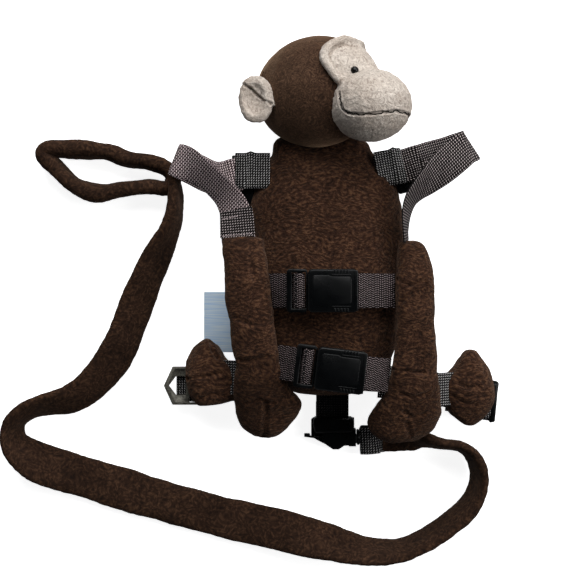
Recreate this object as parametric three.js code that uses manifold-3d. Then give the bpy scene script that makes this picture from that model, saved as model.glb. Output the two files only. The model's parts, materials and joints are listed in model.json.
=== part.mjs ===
// Plush monkey harness for a toddler: a stuffed body worn on the back, arms that cover
// the shoulder straps, two chest buckles, feet on the waist straps and a tail that is a lead.
// Millimetres. It lies on its back: +Z up from the floor, +Y to the head, +X to the side it looks to.
import * as THREE from 'three';
import { mergeVertices } from 'three/addons/utils/BufferGeometryUtils.js';
import Module from 'manifold-3d';

const wasm = await Module();
wasm.setup();

// Driving dimensions
const torsoLength = 188;
const torsoWidth = 112;
const torsoDepth = 57;
const headWidth = 76;
const headHeight = 82;
const headLength = 98;
const headTurn = 57; // degrees from straight up towards +X
const muzzleWidth = 66;
const muzzleHeight = 52;
const muzzleLength = 60;
const maskWidth = 60;
const maskThickness = 3;
const browRim = 7;
const browStep = 1.3;
const eyeSize = 6;
const earLength = 33;
const earWidth = 26;
const earThickness = 8;
const sleeveWidth = 34;
const sleeveThickness = 16;
const handWidth = 52;
const handThickness = 27;
const footWidth = 37;
const footThickness = 28;
const webbingWidth = 25;
const webbingThickness = 1.6;
const buckleWidth = 31;
const buckleLength = 36;
const buckleThickness = 11;
const strapRise = 8; // daylight between the belly and the chest buckles
const lockLength = 22;
const lockThickness = 4.5;
const ringHeight = 34;
const ringThickness = 3.4;
const hookThickness = 6;
const tabWidth = 20;
const leadWidth = 34;
const leadThickness = 9;
const labelWidth = 46;
const labelThickness = 1;
const gap = 0.3; // between pieces that touch

// Levels that follow from the sizes
const bellyTop = torsoDepth;
const buckleLevel = bellyTop + strapRise + buckleThickness / 2;
const headLevel = headWidth / 2 + 9;
const headAt = new THREE.Vector3(-0.0625 * torsoWidth, torsoLength / 2 + headHeight / 2 - 2.5, headLevel);

const plush = [0x4a3527, 0.95, 0];
const pile = [0xd3c7bc, 0.95, 0];
const weave = [0x4b403c, 0.9, 0];
const darkWeave = [0x26211f, 0.9, 0];
const plastic = [0x101214, 0.45, 0];
const greyMetal = [0x8d8a80, 0.4, 0.8];
const bead = [0x0a0807, 0.2, 0];
const satin = [0xc9dcf0, 0.5, 0];

const object = new THREE.Group();

function material([color, roughness, metalness]) {
  return new THREE.MeshStandardMaterial({ color, roughness, metalness, flatShading: true });
}

function add(name, shape, finish, parent = object) {
  const geometry = shape.isBufferGeometry ? shape : fromSolid(shape);
  const mesh = new THREE.Mesh(geometry, material(finish));
  mesh.name = name;
  parent.add(mesh);
  return mesh;
}

// Bare positions with shared corners, faces outward
function tidy(geometry) {
  geometry.deleteAttribute('normal');
  geometry.deleteAttribute('uv');
  const merged = mergeVertices(geometry, 1e-4);
  const p = merged.attributes.position;
  const index = merged.index.array;
  let volume = 0;
  const a = new THREE.Vector3();
  const b = new THREE.Vector3();
  const c = new THREE.Vector3();
  for (let i = 0; i < index.length; i += 3) {
    a.fromBufferAttribute(p, index[i]);
    b.fromBufferAttribute(p, index[i + 1]);
    c.fromBufferAttribute(p, index[i + 2]);
    volume += a.dot(b.cross(c));
  }
  if (volume < 0) {
    for (let i = 0; i < index.length; i += 3) {
      const first = index[i];
      index[i] = index[i + 1];
      index[i + 1] = first;
    }
  }
  return merged;
}

function solid(geometry) {
  const g = tidy(geometry);
  return new wasm.Manifold(new wasm.Mesh({
    numProp: 3,
    vertProperties: new Float32Array(g.attributes.position.array),
    triVerts: new Uint32Array(g.index.array),
  }));
}

function fromSolid(manifold) {
  const mesh = manifold.getMesh();
  const geometry = new THREE.BufferGeometry();
  geometry.setAttribute('position', new THREE.BufferAttribute(new Float32Array(mesh.vertProperties), 3));
  geometry.setIndex(new THREE.BufferAttribute(new Uint32Array(mesh.triVerts), 1));
  return geometry;
}

// The largest body of a cut, without the slivers that a cut can leave
function whole(manifold) {
  const bodies = manifold.decompose();
  bodies.sort((one, other) => other.volume() - one.volume());
  return bodies[0];
}

function block(width, depth, height, x, y, z) {
  const box = new THREE.BoxGeometry(width, depth, height);
  box.translate(x, y, z);
  return solid(box);
}

// An outline with holes, extruded along Z about the level z
function plate(outline, holes, thickness, z = 0, bevel = 0) {
  const shape = new THREE.Shape(outline.map(([x, y]) => new THREE.Vector2(x, y)));
  const geometry = new THREE.ExtrudeGeometry(shape, {
    depth: thickness - 2 * bevel,
    bevelEnabled: bevel > 0,
    bevelSize: bevel,
    bevelOffset: -bevel,
    bevelThickness: bevel,
    bevelSegments: 1,
  });
  geometry.translate(0, 0, z - thickness / 2 + bevel);
  return holes.reduce((left, hole) => left.subtract(plate(hole, [], thickness + 2, z)), solid(geometry));
}

function rectangle(x0, x1, y0, y1, corner = 0, steps = 2) {
  if (corner === 0) return [[x0, y0], [x1, y0], [x1, y1], [x0, y1]];
  const points = [];
  const centres = [[x1 - corner, y1 - corner], [x0 + corner, y1 - corner],
    [x0 + corner, y0 + corner], [x1 - corner, y0 + corner]];
  centres.forEach(([cx, cy], quarter) => {
    for (let i = 0; i <= steps; i += 1) {
      const angle = (quarter + i / steps) * Math.PI / 2;
      points.push([cx + corner * Math.cos(angle), cy + corner * Math.sin(angle)]);
    }
  });
  return points;
}

// Rings of points joined into one closed body: with flat ends, or as a loop without ends
function skin(rings, loop = false) {
  const sides = rings[0].length;
  const positions = [];
  const faces = [];
  for (const ring of rings) {
    for (const point of ring) positions.push(point.x, point.y, point.z);
  }
  for (let i = 0; i < (loop ? rings.length : rings.length - 1); i += 1) {
    const after = ((i + 1) % rings.length) * sides;
    for (let j = 0; j < sides; j += 1) {
      const next = (j + 1) % sides;
      const a = i * sides + j;
      const b = i * sides + next;
      faces.push(a, b, after + next, a, after + next, after + j);
    }
  }
  for (const [start, turned] of loop ? [] : [[0, true], [(rings.length - 1) * sides, false]]) {
    const centre = new THREE.Vector3();
    for (let j = 0; j < sides; j += 1) {
      centre.add(new THREE.Vector3().fromArray(positions, 3 * (start + j)));
    }
    centre.divideScalar(sides);
    const hub = positions.length / 3;
    positions.push(centre.x, centre.y, centre.z);
    for (let j = 0; j < sides; j += 1) {
      const a = start + j;
      const b = start + (j + 1) % sides;
      faces.push(...(turned ? [hub, b, a] : [hub, a, b]));
    }
  }
  const geometry = new THREE.BufferGeometry();
  geometry.setAttribute('position', new THREE.Float32BufferAttribute(positions, 3));
  geometry.setIndex(faces);
  return solid(geometry);
}

// A table's columns read on a smooth curve through its rows
function smooth(table, steps, loop = false) {
  const names = Object.keys(table[0]);
  const rows = [];
  const count = table.length;
  const last = loop ? count * steps - 1 : (count - 1) * steps;
  for (let i = 0; i <= last; i += 1) {
    const t = i / steps;
    const at = loop ? Math.floor(t) : Math.min(Math.floor(t), count - 2);
    const f = t - at;
    const row = {};
    for (const name of names) {
      const p1 = table[at][name];
      const p2 = table[(at + 1) % count][name];
      const p0 = at > 0 || loop ? table[(at - 1 + count) % count][name] : 2 * p1 - p2;
      const p3 = at + 2 < count || loop ? table[(at + 2) % count][name] : 2 * p2 - p1;
      row[name] = 0.5 * (2 * p1 + (p2 - p0) * f + (2 * p0 - 5 * p1 + 4 * p2 - p3) * f * f
        + (3 * p1 - p0 - 3 * p2 + p3) * f * f * f);
    }
    rows.push(row);
  }
  return rows;
}

// A stuffed body: oval sections along a route, each row with x, y, z, half, rise, fall
function stuffed(rows, sides, power, across = new THREE.Vector3(1, 0, 0)) {
  const rings = rows.map((row) => {
    const ring = [];
    for (let j = 0; j < sides; j += 1) {
      const angle = 2 * Math.PI * (j + 0.5) / sides;
      const c = Math.cos(angle);
      const s = Math.sin(angle);
      const u = Math.sign(c) * Math.abs(c) ** (2 / power) * row.half;
      const v = Math.sign(s) * Math.abs(s) ** (2 / power) * (s > 0 ? row.rise : row.fall);
      const point = new THREE.Vector3(row.x, row.y, row.z).addScaledVector(across, u);
      point.z = Math.max(point.z + v, 0);
      ring.push(point);
    }
    return ring;
  });
  return skin(rings);
}

// A flat strap along a route. Each row has x, y, z, lean (degrees that the width stands up from
// level) and, where the strap doesn't simply lie across its route, facing (the width's heading)
function strap(table, width, thickness, { steps = 3, sides = 4, loop = false } = {}) {
  const rows = smooth(table, steps, loop);
  const count = rows.length;
  const rings = rows.map((row, i) => {
    const before = rows[loop ? (i - 1 + count) % count : Math.max(i - 1, 0)];
    const after = rows[loop ? (i + 1) % count : Math.min(i + 1, count - 1)];
    const along = new THREE.Vector3(after.x - before.x, after.y - before.y, after.z - before.z).normalize();
    const facing = 'facing' in row ? THREE.MathUtils.degToRad(row.facing) : Math.atan2(along.x, -along.y);
    const lean = THREE.MathUtils.degToRad(row.lean);
    const wide = new THREE.Vector3(Math.cos(facing) * Math.cos(lean), Math.sin(facing) * Math.cos(lean),
      Math.sin(lean));
    wide.addScaledVector(along, -wide.dot(along)).normalize();
    const flat = new THREE.Vector3().crossVectors(along, wide);
    const ring = [];
    for (let j = 0; j < sides; j += 1) {
      const angle = 2 * Math.PI * (j + 0.5) / sides;
      const c = Math.cos(angle);
      const s = Math.sin(angle);
      const u = sides === 4 ? Math.sign(c) : Math.sign(c) * Math.abs(c) ** 0.6;
      const v = sides === 4 ? Math.sign(s) : Math.sign(s) * Math.abs(s) ** 0.8;
      ring.push(new THREE.Vector3(row.x, row.y, row.z)
        .addScaledVector(wide, u * width / 2)
        .addScaledVector(flat, v * thickness / 2));
    }
    return ring;
  });
  return skin(rings, loop);
}

function ellipsoid(x, y, z, across = 24, down = 16) {
  const ball = new THREE.SphereGeometry(1, across, down);
  ball.scale(x, y, z);
  return solid(ball);
}

// Head, in its own frame: +Z is where it looks, +Y its crown, -X the ear that shows
const head = new THREE.Group();
head.position.copy(headAt);
head.rotation.y = THREE.MathUtils.degToRad(headTurn);
object.add(head);
head.updateMatrixWorld(true);

const skullHalf = [headWidth / 2, headHeight / 2, headLength / 2];
const skullGrown = (by) => ellipsoid(skullHalf[0] + by, skullHalf[1] + by, skullHalf[2] + by, 20, 14);
const skull = skullGrown(0);
const muzzleAt = [0, -0.167 * headHeight, 0.454 * headLength];
const muzzleHalf = [muzzleWidth / 2, muzzleHeight / 2, muzzleLength / 2];
const muzzleGrown = (by) => ellipsoid(...muzzleHalf.map((half) => half + by), 18, 12).translate(muzzleAt);
const muzzle = whole(muzzleGrown(0).subtract(skullGrown(gap)));

// Half of the mask's outline, as shares of half its width and of half the head's height
const maskEdge = [
  { out: 0, up: 0.88 },
  { out: 0.2, up: 0.9 },
  { out: 0.53, up: 0.84 },
  { out: 0.85, up: 0.71 },
  { out: 1.07, up: 0.51 },
  { out: 1.13, up: 0.37 },
  { out: 1.08, up: 0.15 },
  { out: 0.98, up: -0.02 },
  { out: 0.86, up: -0.18 },
  { out: 0.5, up: -0.35 },
  { out: 0, up: -0.4 },
];

function maskPrism(inset) {
  const half = smooth(maskEdge, 2).map((row) => {
    const x = row.out * maskWidth / 2;
    const y = row.up * headHeight / 2;
    const length = Math.hypot(x, y);
    const share = (length - inset) / length;
    return [x * share, y * share];
  });
  const other = half.slice(1, -1).reverse().map(([x, y]) => [-x, y]);
  return plate([...half, ...other].reverse(), [], headLength, headLength / 2);
}

const browCut = skullGrown(maskThickness + 4).subtract(skullGrown(gap + maskThickness - browStep));
const mask = whole(skullGrown(gap + maskThickness).subtract(skullGrown(gap))
  .intersect(maskPrism(0))
  .subtract(browCut.intersect(maskPrism(browRim)))
  .subtract(muzzleGrown(gap)));

function eye(side) {
  const x = side * 0.26 * headWidth;
  const y = muzzleAt[1] + 0.42 * muzzleHeight;
  const reach = skullHalf[2] * Math.sqrt(1 - (x / skullHalf[0]) ** 2 - (y / skullHalf[1]) ** 2);
  return whole(ellipsoid(eyeSize / 2, eyeSize / 2, eyeSize / 2, 12, 8)
    .translate([x, y, reach + maskThickness - 0.4])
    .subtract(skullGrown(gap + maskThickness - browStep + gap))
    .subtract(muzzleGrown(gap)));
}

add('head', skull, plush, head);
add('muzzle', muzzle, pile, head);
add('face_mask', mask, pile, head);
add('eye_right', eye(-1), bead, head);
add('eye_left', eye(1), bead, head);

// Torso: from the seat at -Y to the neck, in shares of its length, width and depth
const torsoSections = [
  { along: -0.5, half: 0.12, top: 0.34 },
  { along: -0.488, half: 0.24, top: 0.5 },
  { along: -0.45, half: 0.345, top: 0.68 },
  { along: -0.38, half: 0.425, top: 0.86 },
  { along: -0.25, half: 0.47, top: 0.97 },
  { along: -0.05, half: 0.495, top: 1 },
  { along: 0.12, half: 0.5, top: 1 },
  { along: 0.26, half: 0.495, top: 0.96 },
  { along: 0.36, half: 0.46, top: 0.88 },
  { along: 0.43, half: 0.4, top: 0.8 },
  { along: 0.48, half: 0.33, top: 0.74 },
  { along: 0.52, half: 0.27, top: 0.7 },
];
const torsoRows = smooth(torsoSections, 2).map(({ along, half, top }) => ({
  x: 0,
  y: along * torsoLength,
  z: 0.42 * top * torsoDepth,
  half: half * torsoWidth,
  rise: 0.58 * top * torsoDepth,
  fall: 0.5 * top * torsoDepth,
}));
const skullPlaced = (by) => skullGrown(by).transform([...head.matrixWorld.elements]);
const torso = whole(stuffed(torsoRows, 24, 2.35).subtract(skullPlaced(gap)));

// Ears: a cupped flap that shows, and one pressed flat between head and floor
const earSections = [
  { along: -0.5, half: 0.14, thick: 0.5 },
  { along: -0.4, half: 0.34, thick: 0.85 },
  { along: -0.1, half: 0.5, thick: 1 },
  { along: 0.22, half: 0.47, thick: 1 },
  { along: 0.42, half: 0.3, thick: 0.85 },
  { along: 0.5, half: 0.12, thick: 0.5 },
];
function ear(x, y, z, thickness) {
  const rows = smooth(earSections, 2).map(({ along, half, thick }) => ({
    x,
    y: y + along * earLength,
    z,
    half: half * earWidth,
    rise: 0.5 * thick * thickness,
    fall: 0.5 * thick * thickness,
  }));
  return stuffed(rows, 12, 2.4);
}
const earHeight = headLevel + 0.26 * headWidth;
const earX = headAt.x - 0.585 * headWidth;
const earY = headAt.y - 0.11 * headHeight;
const cup = ellipsoid(0.34 * earWidth, 0.36 * earLength, 0.55 * earThickness, 14, 10)
  .translate([earX - 0.06 * earWidth, earY, earHeight + 0.5 * earThickness]);
const cupped = ear(earX, earY, earHeight, earThickness).subtract(cup);
add('ear_right', whole(cupped.subtract(skullPlaced(gap))), pile);
add('ear_left', whole(ear(headAt.x - 0.1 * headWidth, earY, 0.5 * earThickness + gap, earThickness)
  .subtract(skullPlaced(gap))), pile);
add('torso', torso, plush);

// Places beside the body: out is a share of half the torso's width, up of its depth
const outX = (share) => share * torsoWidth / 2;
const upY = (share) => share * torsoLength;
const riseZ = (share) => share * torsoDepth;

// Arms are sleeves over the straps; hand and sleeve meet at a crease
const sleeveRows = {
  right: [
    { out: -1.11, up: 0.122, level: 0.93, wide: 0.94, thick: 0.7 },
    { out: -1.08, up: 0.06, level: 0.985, wide: 0.97, thick: 0.95 },
    { out: -1.035, up: -0.06, level: 1.0, wide: 1.0, thick: 1.0 },
    { out: -0.985, up: -0.2, level: 1.0, wide: 0.97, thick: 1.0 },
    { out: -0.935, up: -0.31, level: 0.975, wide: 0.97, thick: 1.0 },
    { out: -0.915, up: -0.352, level: 0.965, wide: 0.93, thick: 0.8 },
  ],
  left: [
    { out: 1.07, up: 0.118, level: 0.9, wide: 0.3, thick: 0.6 },
    { out: 1.1, up: 0.1, level: 0.94, wide: 0.56, thick: 0.85 },
    { out: 1.13, up: 0.05, level: 0.97, wide: 0.74, thick: 1.05 },
    { out: 1.15, up: -0.06, level: 1.0, wide: 0.83, thick: 1.1 },
    { out: 1.155, up: -0.2, level: 1.0, wide: 0.84, thick: 1.1 },
    { out: 1.16, up: -0.32, level: 0.985, wide: 0.92, thick: 1.0 },
    { out: 1.15, up: -0.385, level: 0.975, wide: 0.97, thick: 0.85 },
  ],
};
const handRows = {
  right: [
    { out: -0.915, up: -0.357, level: 0.955, wide: 0.6, thick: 0.46 },
    { out: -0.89, up: -0.4, level: 0.9, wide: 0.7, thick: 0.64 },
    { out: -0.86, up: -0.455, level: 0.78, wide: 0.8, thick: 0.8 },
    { out: -0.78, up: -0.52, level: 0.62, wide: 0.97, thick: 0.97 },
    { out: -0.79, up: -0.572, level: 0.5, wide: 0.92, thick: 1.0 },
    { out: -0.83, up: -0.63, level: 0.42, wide: 0.68, thick: 0.85 },
    { out: -0.84, up: -0.668, level: 0.38, wide: 0.3, thick: 0.45 },
  ],
  left: [
    { out: 1.15, up: -0.39, level: 0.965, wide: 0.62, thick: 0.5 },
    { out: 1.14, up: -0.43, level: 0.93, wide: 0.72, thick: 0.68 },
    { out: 1.125, up: -0.49, level: 0.84, wide: 0.8, thick: 0.85 },
    { out: 1.07, up: -0.55, level: 0.72, wide: 0.98, thick: 0.98 },
    { out: 1.02, up: -0.6, level: 0.64, wide: 1.03, thick: 1.0 },
    { out: 1.0, up: -0.645, level: 0.6, wide: 0.86, thick: 0.9 },
    { out: 1.0, up: -0.68, level: 0.58, wide: 0.4, thick: 0.5 },
  ],
};

function limb(table, width, thickness, steps = 2, sides = 14) {
  const rows = smooth(table, steps).map(({ out, up, level, wide, thick }) => ({
    x: outX(out),
    y: upY(up),
    z: riseZ(level),
    half: wide * width / 2,
    rise: thick * thickness / 2,
    fall: thick * thickness / 2,
  }));
  return stuffed(rows, sides, 2.3);
}

const torsoGrown = (by) => {
  const rows = torsoRows.map((row) => ({
    ...row,
    half: row.half + by,
    rise: row.rise + by,
    fall: row.fall + by,
  }));
  rows[0].y -= by;
  return stuffed(rows, 24, 2.35);
};
const torsoClear = torsoGrown(gap + 0.2);

const footRows = {
  right: [
    { out: -1.61, up: -0.268, level: 0.5, wide: 0.12, thick: 0.35 },
    { out: -1.61, up: -0.3, level: 0.5, wide: 0.5, thick: 0.7 },
    { out: -1.595, up: -0.36, level: 0.52, wide: 0.86, thick: 0.95 },
    { out: -1.56, up: -0.44, level: 0.52, wide: 0.98, thick: 1.0 },
    { out: -1.55, up: -0.5, level: 0.5, wide: 0.84, thick: 0.9 },
    { out: -1.6, up: -0.538, level: 0.5, wide: 0.36, thick: 0.55 },
  ],
  left: [
    { out: 1.95, up: -0.315, level: 0.5, wide: 0.2, thick: 0.4 },
    { out: 1.96, up: -0.355, level: 0.5, wide: 0.56, thick: 0.75 },
    { out: 1.955, up: -0.4, level: 0.52, wide: 0.8, thick: 0.95 },
    { out: 1.91, up: -0.46, level: 0.52, wide: 1.04, thick: 1.05 },
    { out: 1.89, up: -0.52, level: 0.5, wide: 0.98, thick: 1.0 },
    { out: 1.92, up: -0.57, level: 0.5, wide: 0.74, thick: 0.8 },
    { out: 1.935, up: -0.615, level: 0.5, wide: 0.2, thick: 0.4 },
  ],
};

const grownLimb = (table, width, thickness, by) => limb(table, width + 2 * by, thickness + 2 * by);
const limbsClear = {};
for (const side of ['right', 'left']) {
  const sleeve = limb(sleeveRows[side], sleeveWidth, sleeveThickness).subtract(torsoClear);
  add(`arm_${side}`, whole(sleeve), plush);
  const hand = limb(handRows[side], handWidth, handThickness).subtract(torsoClear);
  add(`hand_${side}`, whole(hand), plush);
  add(`foot_${side}`, limb(footRows[side], footWidth, footThickness), plush);
  limbsClear[side] = {
    sleeve: grownLimb(sleeveRows[side], sleeveWidth, sleeveThickness, gap),
    hand: grownLimb(handRows[side], handWidth, handThickness, gap),
    foot: grownLimb(footRows[side], footWidth, footThickness, gap),
  };
}

// A 25 mm side-release buckle in its own frame: strap along X, the catch half at +X
const maleReach = 0.42 * buckleLength;
const frameThickness = 6.4; // of the adjusting half
const prongThickness = 4.2;
const pinRadius = 1.5;
const pinLevel = -0.6;
const pinAt = 0.9 * buckleLength;
const femaleBody = plate(rectangle(0, buckleLength, -buckleWidth / 2, buckleWidth / 2, 3), [],
  buckleThickness, 0, 1);
const innerHalf = 0.4 * buckleWidth;
const mouth = block(0.75 * buckleLength, 2 * innerHalf, frameThickness, 0.375 * buckleLength - 1, 0, 0);
const windows = block(0.26 * buckleLength, buckleWidth + 2, prongThickness + 2 * gap,
  0.47 * buckleLength, 0, 0);
const strapPocket = block(0.33 * buckleLength, webbingWidth + 1, buckleThickness - 2,
  0.935 * buckleLength, 0, -1.2);
const pin = new THREE.CylinderGeometry(pinRadius, pinRadius, webbingWidth + 3, 8);
pin.translate(pinAt, 0, pinLevel);
const female = femaleBody.subtract(mouth).subtract(windows).subtract(strapPocket).add(solid(pin));

const endBar = [-maleReach, -maleReach + 3.5];
const midBar = [-0.5 * maleReach, -0.5 * maleReach + 3.4];
const slotHalf = webbingWidth / 2 + 0.5;
const maleFrame = plate(rectangle(-maleReach, -gap, -buckleWidth / 2, buckleWidth / 2, 2), [
  rectangle(endBar[1], midBar[0], -slotHalf, slotHalf),
  rectangle(midBar[1], -gap - 1.2, -slotHalf, slotHalf),
], frameThickness);
const barHalf = 1.4; // half the middle bar's thickness
const barCut = (side) => block(midBar[1] - midBar[0] + 1, 2 * slotHalf, frameThickness,
  (midBar[0] + midBar[1]) / 2, 0, side * (barHalf + frameThickness / 2));
const prongs = plate([
  [-1, -innerHalf + gap], [0.36 * buckleLength, -innerHalf + gap], [0.4 * buckleLength, -buckleWidth / 2 + 0.8],
  [0.56 * buckleLength, -innerHalf + gap], [0.6 * buckleLength, -innerHalf + 3.4],
  [0.3 * buckleLength, -innerHalf + 3.4], [0.12 * buckleLength, -1.6], [0.55 * buckleLength, -1.6],
  [0.55 * buckleLength, 1.6], [0.12 * buckleLength, 1.6], [0.3 * buckleLength, innerHalf - 3.4],
  [0.6 * buckleLength, innerHalf - 3.4], [0.56 * buckleLength, innerHalf - gap],
  [0.4 * buckleLength, buckleWidth / 2 - 0.8], [0.36 * buckleLength, innerHalf - gap],
  [-1, innerHalf - gap],
], [], prongThickness);
const male = maleFrame.subtract(barCut(1)).subtract(barCut(-1)).add(prongs);

// Where a strap threads the adjusting half: under the end bar, over the middle bar, back under
const under = -frameThickness / 2 - gap - webbingThickness / 2 - 0.2;
const over = barHalf + gap + webbingThickness / 2 + 0.4;
const back = under - webbingThickness - gap - 0.2;
const firstSlot = (endBar[1] + midBar[0]) / 2;
const secondSlot = (midBar[1] - gap - 1.2) / 2;
const threaded = [
  [endBar[1] - 1, under], [firstSlot - 0.5, under + 1.2], [firstSlot, -0.5], [firstSlot + 0.3, over - 0.9],
  [midBar[0] + 0.2, over], [midBar[1] - 0.2, over], [secondSlot - 0.3, over - 0.9], [secondSlot, -0.8],
  [secondSlot, under], [secondSlot - 1.2, back], [endBar[0] + 1, back - 0.1],
];

// Chest buckles: each row lies between the sleeves, level with or tilted on the belly
const chestRows = [
  {
    name: 'upper', out: -0.255, up: -0.077, level: buckleLevel, tilt: 0,
    leftEdge: 0.8, rightEdge: -0.79, drop: 0.76,
  },
  {
    name: 'lower', out: -0.15, up: -0.372, level: buckleLevel - 4, tilt: -7,
    leftEdge: 0.82, rightEdge: -0.66, drop: 0.74,
  },
];
for (const row of chestRows) {
  const buckle = new THREE.Group();
  buckle.position.set(outX(row.out), upY(row.up), row.level);
  buckle.rotation.z = THREE.MathUtils.degToRad(row.tilt);
  object.add(buckle);
  add(`buckle_male_${row.name}`, male, plastic, buckle);
  add(`buckle_female_${row.name}`, female, plastic, buckle);
  // the strap ends stand at the sleeves, lower than the buckle
  const fall = riseZ(row.drop) - row.level + 12;
  const turn = THREE.MathUtils.degToRad(row.tilt);
  const onBuckle = ([x, z]) => ({
    x: outX(row.out) + x * Math.cos(turn),
    y: upY(row.up) + x * Math.sin(turn),
    z: row.level + z,
    facing: 90 + row.tilt,
    lean: 0,
  });
  const chestWebbing = (side, path) => {
    const clear = limbsClear[side];
    const shape = strap(path.map(onBuckle), webbingWidth, webbingThickness, { steps: 1 });
    add(`chest_webbing_${row.name}_${side}`, whole(shape.subtract(clear.sleeve).subtract(clear.hand)), weave);
  };
  const toRight = outX(row.rightEdge) - outX(row.out);
  const toLeft = outX(row.leftEdge) - outX(row.out);
  chestWebbing('right', [[toRight, fall], [(toRight + endBar[0]) / 2, (fall + under) / 2 - 0.5],
    [endBar[0] - 0.5, under], ...threaded]);
  const high = pinLevel + pinRadius + gap + webbingThickness / 2 + 0.2;
  const low = pinLevel - pinRadius - gap - webbingThickness / 2 - 0.2;
  chestWebbing('left', [[toLeft, fall], [(toLeft + buckleLength) / 2, (fall + high) / 2 + 1],
    [buckleLength + 1, high], [pinAt, high], [pinAt - 2.2, high - 0.9], [pinAt - 2.9, pinLevel],
    [pinAt - 2.2, low + 0.9], [pinAt, low], [buckleLength + 2, low], [buckleLength + 5, low]]);
}

// A ladder lock in its own frame: the body's webbing comes from -X, the long strap goes to +X
const lockHalf = lockLength / 2;
const lockSide = webbingWidth / 2 + 3;
const lockBarHalf = 1.25; // half its middle bar's thickness
const lockBars = { inner: [-lockHalf, -lockHalf + 3.5], middle: [-2, 2], outer: [lockHalf - 3, lockHalf] };
const lock = plate(rectangle(-lockHalf, lockHalf, -lockSide, lockSide, 2), [
  rectangle(lockBars.inner[1], lockBars.middle[0], -slotHalf, slotHalf),
  rectangle(lockBars.middle[1], lockBars.outer[0], -slotHalf, slotHalf),
], lockThickness).subtract(block(4.2, 2 * slotHalf, 2, 0, 0, lockBarHalf + 1))
  .subtract(block(4.2, 2 * slotHalf, 2, 0, 0, -lockBarHalf - 1));
const lockOver = lockThickness / 2 + gap + webbingThickness / 2 + 0.1;
const bodyLoop = [[-30, 7], [-22, 5.6], [-16, 4.3], [lockBars.inner[0], lockOver + 0.2],
  [lockBars.inner[1] - 0.2, lockOver], [-5.5, 2], [-5.1, 0], [-5.5, -2], [lockBars.inner[1] - 0.2, -lockOver],
  [lockBars.inner[0], -lockOver], [-17, -lockOver - 1]];
const strapLoop = [[13, -lockOver - 2.2], [-0.8, -lockOver - 2.2], [-2.5, -4.6], [-3.1, -2.6], [-3.2, 0.9],
  [-2.6, 2.2], [-1, 2.5], [1.6, 2.5], [3.6, 1.8], [4.9, -0.3], [6, -2.4], [8, -lockOver - 0.1],
  [13, -lockOver - 0.2]];

// Shoulder straps leave their lock, fold over at the top corner and come back to the sleeve
const shoulders = {
  right: {
    out: -1.34, up: 0.396, level: 0.57, heading: 180,
    fold: [
      { out: -1.79, up: 0.405, level: 0.475, facing: 268, lean: 0 },
      { out: -1.96, up: 0.42, level: 0.455, facing: 264, lean: 0 },
      { out: -2.09, up: 0.44, level: 0.46, facing: 256, lean: 0 },
      { out: -2.16, up: 0.458, level: 0.54, facing: 250, lean: 0 },
      { out: -2.15, up: 0.47, level: 0.64, facing: 244, lean: 0 },
      { out: -2.05, up: 0.473, level: 0.71, facing: 238, lean: -4 },
      { out: -1.83, up: 0.43, level: 0.755, facing: 230, lean: -18 },
      { out: -1.48, up: 0.338, level: 0.815, facing: 218, lean: -26 },
      { out: -1.25, up: 0.258, level: 0.88, facing: 196, lean: -18 },
      { out: -1.155, up: 0.18, level: 0.925, facing: 183, lean: -4 },
      { out: -1.115, up: 0.115, level: 0.94, facing: 180, lean: 0 },
    ],
  },
  left: {
    out: 1.19, up: 0.426, level: 0.57, heading: 13,
    fold: [
      { out: 1.6, up: 0.464, level: 0.48, facing: 108, lean: 0 },
      { out: 1.78, up: 0.49, level: 0.46, facing: 115, lean: 0 },
      { out: 1.9, up: 0.512, level: 0.46, facing: 120, lean: 0 },
      { out: 1.98, up: 0.526, level: 0.53, facing: 123, lean: 0 },
      { out: 1.98, up: 0.528, level: 0.64, facing: 125, lean: 0 },
      { out: 1.88, up: 0.512, level: 0.71, facing: 127, lean: 2 },
      { out: 1.66, up: 0.452, level: 0.75, facing: 130, lean: 12 },
      { out: 1.38, up: 0.37, level: 0.79, facing: 134, lean: 32 },
      { out: 1.17, up: 0.29, level: 0.84, facing: 150, lean: 58 },
      { out: 1.08, up: 0.21, level: 0.87, facing: 170, lean: 74 },
      { out: 1.07, up: 0.116, level: 0.9, facing: 178, lean: 76 },
    ],
  },
};
for (const [side, shoulder] of Object.entries(shoulders)) {
  const centre = new THREE.Vector3(outX(shoulder.out), upY(shoulder.up), riseZ(shoulder.level));
  const turn = THREE.MathUtils.degToRad(shoulder.heading);
  const place = ([x, z]) => ({
    x: centre.x + x * Math.cos(turn),
    y: centre.y + x * Math.sin(turn),
    z: centre.z + z,
    facing: shoulder.heading + 90,
    lean: 0,
  });
  const lockMesh = add(`shoulder_lock_${side}`, lock, plastic);
  lockMesh.position.copy(centre);
  lockMesh.rotation.z = turn;
  const webbing = strap(bodyLoop.map(place), webbingWidth, webbingThickness, { steps: 1 });
  add(`shoulder_webbing_${side}`, whole(webbing.subtract(torsoClear)), darkWeave);
  const fold = shoulder.fold.map(({ out, up, level, facing, lean }) => (
    { x: outX(out), y: upY(up), z: riseZ(level), facing, lean }));
  const route = [...smooth([...strapLoop.map(place)], 1), ...smooth(fold, 2)];
  const long = strap(route, webbingWidth, webbingThickness, { steps: 1 });
  add(`shoulder_strap_${side}`, whole(long.subtract(limbsClear[side].sleeve).subtract(torsoClear)), weave);
}

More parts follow.
